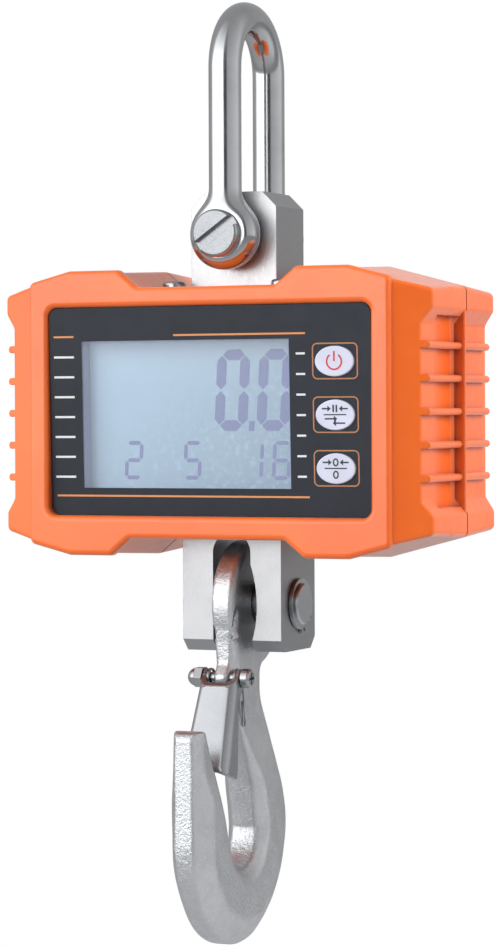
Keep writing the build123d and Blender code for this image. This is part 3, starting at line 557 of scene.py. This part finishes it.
# ======================================================================
# shackle bow
# ======================================================================
def bow_field(x, y, z):
    """Round bar bent over a half circle, flowing into two rounded ears with a pin bore."""
    over = z > BOW_CENTRE_Z
    ring = np.hypot(y, z - BOW_CENTRE_Z) - BOW_Y
    leg = np.abs(y) - BOW_Y
    low = np.minimum(z - (SHACKLE_PIN_Z + 4), 0)
    bar = np.where(over, np.hypot(ring, x), np.sqrt(leg ** 2 + x ** 2 + low ** 2)) - BAR_R
    radial = np.hypot(x, z - SHACKLE_PIN_Z) - (EAR_R - EAR_ROUND)
    across = np.abs(np.abs(y) - EAR_Y) - (EAR_T / 2 - EAR_ROUND)
    outside = np.hypot(np.clip(radial, 0, None), np.clip(across, 0, None))
    ear = outside + np.minimum(np.maximum(radial, across), 0) - EAR_ROUND
    body = smooth_min(bar, ear, 5.0)
    bore = SHACKLE_BORE_R - np.hypot(x, z - SHACKLE_PIN_Z)
    return smooth_max(body, bore, 0.5)


def shackle_bow():
    top = BOW_CENTRE_Z + BOW_Y + BAR_R + 2
    low = (-EAR_R - 2, -EAR_Y - EAR_T / 2 - 2, SHACKLE_PIN_Z - EAR_R - 2)
    high = (EAR_R + 2, EAR_Y + EAR_T / 2 + 2, top)
    verts, faces, normals = surface_net(bow_field, low, high, 1.0)
    bow = piece("bow_forging", verts, faces, "shackle",
                SLOT_MATERIALS["polished_steel"], normals)
    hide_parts("shackle_bow")


# ======================================================================
# forged hook
# ======================================================================
NECK_BACK_Y, NECK_TOP_Z = 12.5, -76.0
NECK_FRONT = [(-22.0, NECK_TOP_Z), (-25.2, -83.0), (-24.6, -94.0)]
NECK_ROUND = 4.0
BOSS_POINTS = 24


def on_circle(centre, radius, degrees):
    """Point on a circle, angle in degrees from +Y towards +Z."""
    return arc(centre, radius, degrees, degrees, 1)[0]


def hook_paths():
    """Closed outline of the hook, and the outer, inner and neck contours of its section."""
    back_end = on_circle(BOWL_C, BOWL_R, 30)
    back_z = back_end[1] + (back_end[0] - BACK_Y) / math.tan(BACK_LEAN)
    throat_end = on_circle(THROAT_C, THROAT_R, 205)
    tip_in_y = throat_end[0] - (TIP_Z - throat_end[1]) * math.tan(THROAT_LEAN)
    tip_out_y = BOWL_C[0] - BOWL_R
    outer = [(tip_out_y, TIP_Z, 3.6)] + arc(BOWL_C, BOWL_R, 180, 390, 120)
    outer += [(BACK_Y, back_z, 14.0), (BACK_Y, -98.0, 5.0), (NECK_BACK_Y, -88.5)]
    inner = arc(LATCH_PIVOT, LATCH_BOSS_R, 158, 275, BOSS_POINTS)
    inner += [(-20.5, -115.0, 14.0), (-9.5, -139.5, 20.0)]
    inner += arc(THROAT_C, THROAT_R, 0, -155, 70)
    inner += [(tip_in_y, TIP_Z + 0.4, 2.4)]
    top = [(NECK_BACK_Y, NECK_TOP_Z), NECK_FRONT[0]] + [p + (NECK_ROUND,) for p in NECK_FRONT[1:]]
    outline = rounded_path(outer + top + inner)
    spine = rounded_path(arc(BOWL_C, BOWL_R, 180, 390, 120) + outer[-3:], closed=False)
    front = rounded_path(inner[BOSS_POINTS:-1] + [(tip_in_y, TIP_Z + 6.0)], closed=False)
    neck = NECK_FRONT + [inner[0], inner[BOSS_POINTS // 3]]
    return outline, [(tip_out_y, TIP_Z + 4.0)] + spine, front, neck


HOOK_OUTLINE, HOOK_OUTER, HOOK_INNER, HOOK_NECK = hook_paths()
BAND_HALF, BAND_SLOPE = 3.6, 0.60
NECK_PINCH, PINCH_Z, PINCH_SPAN, PINCH_Y = 1.4, -100.0, 16.0, -12.0
INNER_HALF, INNER_SLOPE = 5.0, 0.9
NECK_HALF, BOWL_HALF, TIP_HALF = 4.6, 8.6, 6.0
SWELL_TOP_Z, SWELL_SPAN = -112.0, 34.0
TIP_FADE_Z, TIP_FADE_RISE = -142.0, 18.0
TIP_FADE_Y, TIP_FADE_RUN = -36.0, 8.0


def hook_field(x, y, z):
    """Outline with a section that is thickest in its middle: bands outside, round inside."""
    flat_y, flat_z = (y[0], z[0]) if y.ndim == 3 else (y, z)
    outline = outline_distance(flat_y, flat_z, HOOK_OUTLINE)
    eye_r = np.hypot(flat_y - EYE_Y, flat_z - HOOK_PIN_Z)
    side = smooth_min(outline, eye_r - EYE_R, 2.0)
    side = smooth_max(side, HOOK_BORE_R - np.hypot(flat_y, flat_z - HOOK_PIN_Z), 1.2)
    d_out = path_distance(flat_y, flat_z, HOOK_OUTER)[0]
    d_neck = path_distance(flat_y, flat_z, HOOK_NECK)[0]
    d_out = np.minimum(d_out, d_neck)
    below_eye = np.clip(HOOK_PIN_Z - 0.5 * EYE_R - flat_z, 0, None)
    d_out = np.minimum(d_out, np.abs(EYE_R - eye_r) + 1.5 * below_eye)
    pinch = np.exp(-(((flat_z - PINCH_Z) / PINCH_SPAN) ** 2)) * (flat_y < PINCH_Y)
    d_in = path_distance(flat_y, flat_z, HOOK_INNER)[0]
    swell = np.clip((SWELL_TOP_Z - flat_z) / SWELL_SPAN, 0, 1)
    swell = swell * swell * (3 - 2 * swell)
    crown = NECK_HALF + (BOWL_HALF - NECK_HALF) * swell
    tip = np.clip((flat_z - TIP_FADE_Z) / TIP_FADE_RISE, 0, 1)
    tip = tip * np.clip((TIP_FADE_Y - flat_y) / TIP_FADE_RUN, 0, 1)
    crown = crown * (1 - tip) + TIP_HALF * tip
    edge = BAND_HALF - NECK_PINCH * pinch
    band = smooth_min(edge + BAND_SLOPE * d_out, INNER_HALF + INNER_SLOPE * d_in, 1.2)
    half = smooth_min(band, crown, 1.4)
    half = half + 0.10 * np.sin(flat_y * 0.41 + 1.3 * np.sin(flat_z * 0.23)) * swell
    if y.ndim == 3:
        side, half = side[None], half[None]
    return smooth_max(side, (np.abs(x) - half) * 0.9, 1.1)


def forged_hook():
    low = (-BOWL_HALF - 2, BOWL_C[0] - BOWL_R - 3, BOWL_C[1] - BOWL_R - 3)
    high = (BOWL_HALF + 2, BOWL_C[0] + BOWL_R + 3, HOOK_PIN_Z + EYE_R + 3)
    verts, faces, normals = surface_net(hook_field, low, high, 0.9, refine=3)
    body = piece("hook_forging", verts, faces, "hook_body",
                 SLOT_MATERIALS["forged_steel"], normals)
    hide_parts("hook")


# ======================================================================
# safety latch and spring
# ======================================================================
LATCH_R = 2.2
PLATE_TOP, PLATE_FOOT = (-8.2, -2.6), (-20.6, -33.6)
FLANGE_FOOT, FLANGE_TOP = (-9.4, -37.2), (-3.4, -4.0)
LATCH_NECK = [(-8.2, -2.6), (-3.4, -8.0), (3.2, -1.2), (-3.0, 1.6)]
LATCH_EYE_R = 3.4


def latch_field(x, y, z):
    """Sheet bent round a front plate into two flanges with round ears at the bolt."""
    y, z = y - LATCH_PIVOT[0], z - LATCH_PIVOT[1]
    run, drop = PLATE_FOOT[0] - PLATE_TOP[0], PLATE_FOOT[1] - PLATE_TOP[1]
    length = math.hypot(run, drop)
    nose = ((y - PLATE_TOP[0]) * drop - (z - PLATE_TOP[1]) * run) / length
    down = np.clip((PLATE_TOP[1] - z) / -drop, 0, 1)
    half = LATCH_TOP_HALF + (LATCH_LOW_HALF - LATCH_TOP_HALF) * down
    wall = np.abs(x) - half
    outer = smooth_max(nose, wall, 2 * LATCH_R)
    inner = smooth_max(nose + LATCH_SHEET, wall + LATCH_SHEET, 2 * LATCH_R)
    sheet = smooth_max(outer, -inner, 0.4)
    side = rounded_path([PLATE_TOP, PLATE_FOOT + (2.6,), FLANGE_FOOT + (1.6,), FLANGE_TOP])
    flat_y, flat_z = (y[0], z[0]) if y.ndim == 3 else (y, z)
    neck = outline_distance(flat_y, flat_z, LATCH_NECK)
    shape = np.minimum(outline_distance(flat_y, flat_z, side), neck)
    shape = smooth_min(shape, np.hypot(flat_y, flat_z) - LATCH_EYE_R, 0.8)
    shape = smooth_max(shape, LATCH_BOLT_R + 0.06 - np.hypot(flat_y, flat_z), 0.2)
    if y.ndim == 3:
        shape = shape[None]
    return smooth_max(sheet, shape, 0.4)


def safety_latch():
    py, pz = LATCH_PIVOT
    low = (-LATCH_LOW_HALF - 1.5, py - 24, pz - 40)
    high = (LATCH_LOW_HALF + 1.5, py + 6, pz + 5.5)
    verts, faces, normals = surface_net(latch_field, low, high, 0.4, refine=3)
    plate = piece("latch_sheet", verts, faces, "latch_body",
                  SLOT_MATERIALS["latch_steel"], normals)
    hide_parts("latch")


def latch_spring():
    """Two coils on the bolt, one on each side of the hook, with a looped leg behind the latch."""
    py, pz = LATCH_PIVOT
    verts, faces = [], []
    for side in (-1, 1):
        turns = np.linspace(0.0, SPRING_TURNS, 64)
        route = []
        for t in turns:
            a = -0.5 * math.pi + 2 * math.pi * t
            x = side * (SPRING_X + SPRING_PITCH * t)
            route.append((x, py + SPRING_R * math.cos(a), pz + SPRING_R * math.sin(a)))
        if side > 0:
            leg = [(5.8, py + 4.4, pz - 3.0), (5.8, py + 5.0, pz - 9.0), (5.7, py + 5.8, pz - 15.0)]
            bend = [(5.7, py + 5.4 + 1.3 * math.cos(b), pz - 16.5 + 1.3 * math.sin(b) * 1.6)
                    for b in np.linspace(0, -math.pi, 9)]
            route += leg + bend + [(5.7, py + 3.9, pz - 9.0)]
        v, f = tube(route, SPRING_WIRE_R)
        faces += [tuple(i + len(verts) for i in face) for face in f]
        verts += list(v)
    spring = piece("spring_wire", verts, faces, "hook_body", SLOT_MATERIALS["pin_steel"])
    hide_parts("latch_spring")


# ======================================================================
# marks on the panel, keys and display
# ======================================================================
class Face:
    """Flat outer face of a CAD node: origin, right, up and outward directions, in metres."""

    def __init__(self, node):
        mesh = NODES[node].data
        normal = Vector((0, 0, 0))
        for poly in mesh.polygons:
            if poly.normal.y < -0.95:
                normal += poly.normal * poly.area
        self.out = normal.normalized()
        self.right = Vector((1, 0, 0))
        self.up = self.out.cross(self.right)
        low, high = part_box(node)
        middle = (Vector(low) + Vector(high)) / 2
        reach = max(v.co.dot(self.out) for v in mesh.vertices)
        self.origin = middle + self.out * (reach - middle.dot(self.out))

    def at(self, x, z, lift):
        """Point x, z millimetres from the housing's middle on this face, lifted off it."""
        centre = Vector(CENTRE)
        rise = (self.origin - centre).z / MM
        across = (self.origin - centre).x / MM
        p = self.origin + self.right * (x - across) * MM + self.up * (z - rise) * MM
        return p + self.out * lift * MM


def printed(name, loops, face, body, material, lift=0.01, thick=0.05):
    """Flat shapes of one colour, each a closed loop of (x, z) points, as thin plates."""
    verts, faces = [], []
    for loop in loops:
        n, start = len(loop), len(verts)
        for height in (lift, lift + thick):
            verts += [(np.array(face.at(x, z, height)) - CENTRE) / MM for x, z in loop]
        area = sum(loop[i][0] * loop[(i + 1) % n][1] - loop[(i + 1) % n][0] * loop[i][1] for i in range(n))
        order = list(range(n)) if area > 0 else list(range(n))[::-1]
        faces.append(tuple(start + n + i for i in order))
        faces.append(tuple(start + i for i in order[::-1]))
        for i in range(n):
            a, b = order[i], order[(i + 1) % n]
            faces.append((start + a, start + b, start + n + b, start + n + a))
    return piece(name, verts, faces, body, material, smooth=False)


def bar(x0, x1, z0, z1):
    """Closed loop round a rectangle."""
    return [(x0, z0), (x1, z0), (x1, z1), (x0, z1)]


def ring_loops(inner, outer):
    """A closed band between two loops of equal count, as quads."""
    n = len(inner)
    return [[outer[i], outer[(i + 1) % n], inner[(i + 1) % n], inner[i]] for i in range(n)]


def round_rect(cx, cz, w, h, r, count=6):
    """Closed loop round a rectangle with rounded corners."""
    pts = []
    for k, (sx, sz) in enumerate([(1, 1), (-1, 1), (-1, -1), (1, -1)]):
        for a in np.linspace(k * 90, k * 90 + 90, count):
            t = math.radians(a)
            pts.append((cx + sx * (w / 2 - r) + r * math.cos(t), cz + sz * (h / 2 - r) + r * math.sin(t)))
    return pts


def ellipse(cx, cz, half_w, half_h, count=24):
    """Closed loop round an ellipse."""
    angles = np.linspace(0, 2 * math.pi, count + 1)[:-1]
    return [(cx + half_w * math.cos(t), cz + half_h * math.sin(t)) for t in angles]


def arc_band(cx, cz, radius, stroke, start, end, count=28):
    """Stroke along an arc, as quads."""
    a = np.radians(np.linspace(start, end, count))
    out = [(cx + (radius + stroke / 2) * math.cos(t), cz + (radius + stroke / 2) * math.sin(t)) for t in a]
    ins = [(cx + (radius - stroke / 2) * math.cos(t), cz + (radius - stroke / 2) * math.sin(t)) for t in a]
    return [[out[i], out[i + 1], ins[i + 1], ins[i]] for i in range(count - 1)]


TICK_PITCH = 7.53
TICK_COUNT = 7
LEFT_TICKS = [21.1 - TICK_PITCH * i for i in range(TICK_COUNT)]
RIGHT_TICKS = [21.5 - TICK_PITCH * i for i in range(TICK_COUNT)]
LEFT_TICK_X, LEFT_TICK_HALF = (-63.4, -55.0), 0.4
RIGHT_TICK_X, RIGHT_TICK_HALF = (35.8, 39.4), 0.38
ACCENT_LINES = [(-63.4, -55.0, 28.4, 29.1), (-13.5, 39.6, 28.55, 29.25), (-63.0, 40.4, -31.55, -30.85)]
KEY_NODES = ("power_key", "hold_key", "tare_key")
KEY_BOX_W, KEY_BOX_H, KEY_BOX_R, KEY_BOX_STROKE = 18.0, 13.4, 2.0, 0.5


def panel_marks():
    """Scale ticks, accent lines and the frames round the keys."""
    face = Face("display_overlay")
    white = ink("panel_white", srgb(214, 216, 218))
    orange = ink("panel_orange", srgb(212, 138, 84))
    tan = ink("panel_tan", srgb(172, 114, 76))
    ticks = [bar(*LEFT_TICK_X, z - LEFT_TICK_HALF, z + LEFT_TICK_HALF) for z in LEFT_TICKS]
    ticks += [bar(*RIGHT_TICK_X, z - RIGHT_TICK_HALF, z + RIGHT_TICK_HALF) for z in RIGHT_TICKS]
    printed("scale_ticks", ticks, face, "scale_body", white)
    lines = [bar(*line) for line in ACCENT_LINES]
    printed("accent_lines", lines, face, "scale_body", orange)
    boxes = []
    for name in KEY_NODES:
        x, _, z = node_middle(name)
        inner = round_rect(x, z, KEY_BOX_W - 2 * KEY_BOX_STROKE, KEY_BOX_H - 2 * KEY_BOX_STROKE,
                           KEY_BOX_R - KEY_BOX_STROKE)
        outer = round_rect(x, z, KEY_BOX_W, KEY_BOX_H, KEY_BOX_R)
        boxes += ring_loops(inner, outer)
    printed("key_outlines", boxes, face, "scale_body", tan)


def arrow(x, z, direction, size=1.3, shaft=2.2, stroke=0.55):
    """Small arrow: a triangle head and a shaft behind it."""
    tip = x + direction * size
    head = [(tip, z), (x, z + size * 0.85), (x, z - size * 0.85)]
    tail = bar(min(x, x - direction * shaft), max(x, x - direction * shaft), z - stroke / 2, z + stroke / 2)
    return [head, tail]


def key_pictograms():
    """Power symbol, and generic bars, arrows and zeros on the other two keys."""
    red = ink("key_red", srgb(200, 40, 48))
    dark = ink("key_dark", srgb(46, 49, 62))
    x, _, z = node_middle("power_key")
    power = arc_band(x, z - 0.2, 2.9, 0.6, 90 + 35, 90 + 325) + [bar(x - 0.3, x + 0.3, z - 0.1, z + 3.6)]
    printed("power_symbol", power, Face("power_key"), "power_key_body", red)

    x, _, z = node_middle("hold_key")
    rows = [bar(x - 4.4, x + 4.4, z - 0.22, z + 0.22)]
    rows += [bar(x - 0.95, x - 0.3, z + 0.9, z + 3.6), bar(x + 0.3, x + 0.95, z + 0.9, z + 3.6)]
    rows += arrow(x - 2.9, z + 2.2, 1.0) + arrow(x + 2.9, z + 2.2, -1.0)
    rows += arrow(x - 0.4, z - 1.5, 1.0, shaft=3.6) + arrow(x + 0.4, z - 3.1, -1.0, shaft=3.6)
    printed("hold_symbol", rows, Face("hold_key"), "hold_key_body", dark)

    x, _, z = node_middle("tare_key")
    rows = [bar(x - 4.4, x + 4.4, z - 0.22, z + 0.22)]
    for zero_z in (z + 2.2, z - 2.3):
        rows += ring_loops(ellipse(x, zero_z, 0.6, 0.95), ellipse(x, zero_z, 1.15, 1.5))
    rows += arrow(x - 2.9, z + 2.2, 1.0) + arrow(x + 2.9, z + 2.2, -1.0)
    printed("tare_symbol", rows, Face("tare_key"), "tare_key_body", dark)


SEGMENTS = {"0": "abcdef", "1": "bc", "2": "abdeg", "5": "acdfg", "6": "acdefg"}
LEAN = math.tan(math.radians(3.7))
BIG_X, BIG_Z = (-0.1, 16.9), -6.9
BIG_SIZE = {"w": 13.4, "h": 30.3, "stroke": 4.0, "gap": 0.6}
POINT_X, POINT_TOP_Z = (13.9, 16.2), -3.2
SMALL_FIGURES, SMALL_Z = (("2", -37.6), ("5", -13.3), ("1", 11.8), ("6", 22.8)), -25.1
SMALL_SIZE = {"w": 7.4, "h": 14.5, "stroke": 1.5, "gap": 0.5}


def digit(char, x, z, w, h, stroke, gap):
    """Seven-segment figure with its lower left corner at x, z, leaning to the right."""
    half = h / 2
    s, e = stroke / 2, gap / 2
    spans = {
        "a": ("h", s, w - s, h - s), "g": ("h", s, w - s, half), "d": ("h", s, w - s, s),
        "f": ("v", s, half, h - s), "b": ("v", w - s, half, h - s),
        "e": ("v", s, s, half), "c": ("v", w - s, s, half),
    }
    loops = []
    for key in SEGMENTS[char]:
        kind = spans[key][0]
        if kind == "h":
            _, x0, x1, zc = spans[key]
            x0, x1 = x0 + e, x1 - e
            pts = [(x0, zc), (x0 + s, zc - s), (x1 - s, zc - s), (x1, zc), (x1 - s, zc + s), (x0 + s, zc + s)]
        else:
            _, xc, z0, z1 = spans[key]
            z0, z1 = z0 + e, z1 - e
            pts = [(xc, z0), (xc + s, z0 + s), (xc + s, z1 - s), (xc, z1), (xc - s, z1 - s), (xc - s, z0 + s)]
        loops.append([(x + px + LEAN * pz, z + pz) for px, pz in pts])
    return loops


def display_segments():
    """Large reading with its decimal point over a row of small figures."""
    face = Face("lcd_glass")
    blue = ink("segment_blue", srgb(94, 106, 158), roughness=0.4)
    shapes = []
    for x in BIG_X:
        shapes += digit("0", x, BIG_Z, **BIG_SIZE)
    shapes.append([(x + LEAN * (z - BIG_Z), z) for x, z in bar(*POINT_X, BIG_Z, POINT_TOP_Z)])
    for char, x in SMALL_FIGURES:
        shapes += digit(char, x, SMALL_Z, **SMALL_SIZE)
    printed("display_segments", shapes, face, "scale_body", blue, thick=0.03)


# ======================================================================
# stage, light and camera
# ======================================================================
CAMERA_AZ = 23.5
CAMERA_DISTANCE = 1.18
CAMERA_LENS = 117.47
CAMERA_SHIFT_Y = -0.0641
CAMERA_ROLL = -0.25
FLOOR_Z, FLOOR_HALF = -0.62, 9.0


def direction(azimuth, elevation):
    """Unit vector seen from the object: azimuth 0 is the front (-Y), positive to the right."""
    a, e = math.radians(azimuth), math.radians(elevation)
    return Vector((math.sin(a) * math.cos(e), -math.cos(a) * math.cos(e), math.sin(e)))


def camera():
    """Eye level with the housing, a little to its right."""
    data = bpy.data.cameras.new("camera")
    data.lens = CAMERA_LENS
    data.sensor_width = 36.0
    data.shift_y = CAMERA_SHIFT_Y
    data.clip_end = 50.0
    cam = bpy.data.objects.new("camera", data)
    bpy.context.scene.collection.objects.link(cam)
    target = Vector(CENTRE)
    cam.location = target + direction(CAMERA_AZ, 0) * CAMERA_DISTANCE
    look = (target - cam.location).to_track_quat("-Z", "Y")
    roll = Quaternion((0, 0, 1), math.radians(CAMERA_ROLL))
    cam.rotation_mode = "QUATERNION"
    cam.rotation_quaternion = look @ roll
    bpy.context.scene.camera = cam


def softbox(name, azimuth, elevation, distance, width, height, power):
    """Rectangular area light that faces the housing."""
    data = bpy.data.lights.new(name, "AREA")
    data.shape = "RECTANGLE"
    data.size, data.size_y = width, height
    data.energy = power
    lamp = bpy.data.objects.new(name, data)
    bpy.context.scene.collection.objects.link(lamp)
    lamp.visible_glossy = False
    lamp.location = Vector(CENTRE) + direction(azimuth, elevation) * distance
    lamp.rotation_mode = "QUATERNION"
    lamp.rotation_quaternion = (Vector(CENTRE) - lamp.location).to_track_quat("-Z", "Y")


# brightness of the studio walls by azimuth, from -180 (behind) round by the left to +180
WALLS = [(-180, 0.50), (-120, 0.42), (-82, 0.60), (-64, 3.2), (-8, 3.5), (10, 3.0), (15, 0.06),
         (34, 0.06), (39, 0.60), (90, 0.85), (122, 1.00), (145, 0.48), (165, 0.45), (180, 0.50)]
CEILING, GROUND = 0.45, 0.32
HORIZON_BLEND = 0.2


def studio_world():
    """White to the camera; to the object, walls whose brightness changes with azimuth."""
    world = bpy.data.worlds.new("studio")
    bpy.context.scene.world = world
    world.use_nodes = True
    tree = world.node_tree
    tree.nodes.clear()

    def node(kind):
        return tree.nodes.new(kind)

    def feed(sockets, values):
        for socket, value in zip(sockets, values):
            if isinstance(value, (int, float)):
                socket.default_value = value
            else:
                tree.links.new(value, socket)

    def math_node(op, *values):
        n = node("ShaderNodeMath")
        n.operation = op
        feed(n.inputs, values)
        return n.outputs[0]

    coord = node("ShaderNodeTexCoord")
    split = node("ShaderNodeSeparateXYZ")
    tree.links.new(coord.outputs["Generated"], split.inputs[0])
    ahead = math_node("MULTIPLY", split.outputs["Y"], -1.0)
    angle = math_node("ARCTAN2", split.outputs["X"], ahead)
    turn = math_node("MULTIPLY_ADD", angle, 0.5 / math.pi, 0.5)
    ramp = node("ShaderNodeFloatCurve")
    curve = ramp.mapping.curves[0]
    top = max(v for _, v in WALLS)
    while len(curve.points) < len(WALLS):
        curve.points.new(0.5, 0.5)
    for point, (azimuth, value) in zip(curve.points, WALLS):
        point.location = ((azimuth + 180) / 360, value / top)
        point.handle_type = "VECTOR"
    ramp.mapping.update()
    tree.links.new(turn, ramp.inputs["Value"])
    walls = math_node("MULTIPLY", ramp.outputs[0], top)
    up = math_node("SMOOTH_MAX", split.outputs["Z"], 0.0, HORIZON_BLEND)
    below = math_node("MULTIPLY", split.outputs["Z"], -1.0)
    down = math_node("SMOOTH_MAX", below, 0.0, HORIZON_BLEND)

    def mix(fac, a, b):
        n = node("ShaderNodeMix")
        feed((n.inputs[0], n.inputs[2], n.inputs[3]), (fac, a, b))
        return n.outputs[0]

    level = mix(up, walls, CEILING)
    level = mix(down, level, GROUND)
    light = node("ShaderNodeBackground")
    tree.links.new(level, light.inputs["Strength"])
    white = node("ShaderNodeBackground")
    white.inputs["Color"].default_value = (1.0, 1.0, 1.0, 1.0)
    light.inputs["Color"].default_value = (1.0, 1.0, 1.0, 1.0)
    path = node("ShaderNodeLightPath")
    blend = node("ShaderNodeMixShader")
    tree.links.new(path.outputs["Is Camera Ray"], blend.inputs[0])
    tree.links.new(light.outputs[0], blend.inputs[1])
    tree.links.new(white.outputs[0], blend.inputs[2])
    out = node("ShaderNodeOutputWorld")
    tree.links.new(blend.outputs[0], out.inputs["Surface"])


def floor():
    """Pale floor well below the hook, lit so that it fades into the background."""
    corners = [(sx * FLOOR_HALF, sy * FLOOR_HALF, FLOOR_Z) for sx, sy in ((-1, -1), (1, -1), (1, 1), (-1, 1))]
    mesh = bpy.data.meshes.new("floor")
    mesh.from_pydata(corners, [], [(0, 1, 2, 3)])
    f = Finish("floor_white", srgb(178, 178, 178), roughness=0.9)
    f.tint(f.noise(3, 2.0), srgb(172, 172, 173))
    path = f.node("ShaderNodeLightPath")
    glow = f.node("ShaderNodeEmission", Color=(1.0, 1.0, 1.0, 1.0), Strength=1.0)
    blend = f.node("ShaderNodeMixShader")
    f.link(path.outputs["Is Camera Ray"], blend.inputs[0])
    f.link(f.shader.outputs[0], blend.inputs[1])
    f.link(glow.outputs[0], blend.inputs[2])
    f.link(blend.outputs[0], f.tree.nodes["Material Output"].inputs["Surface"])
    mesh.materials.append(f.mat)
    obj = bpy.data.objects.new("floor", mesh)
    bpy.context.scene.collection.objects.link(obj)


def lights():
    """A broad key light at the upper left and a fill at the right."""
    softbox("key_light", azimuth=-35, elevation=38, distance=1.8, width=1.3, height=1.0, power=14)
    softbox("right_light", azimuth=112, elevation=24, distance=1.5, width=0.9, height=0.9, power=26)


shackle_bow()
forged_hook()
safety_latch()
latch_spring()
panel_marks()
key_pictograms()
display_segments()
floor()
studio_world()
lights()
camera()
bpy.context.scene.view_settings.view_transform = "Standard"
bpy.context.scene.view_settings.look = "None"
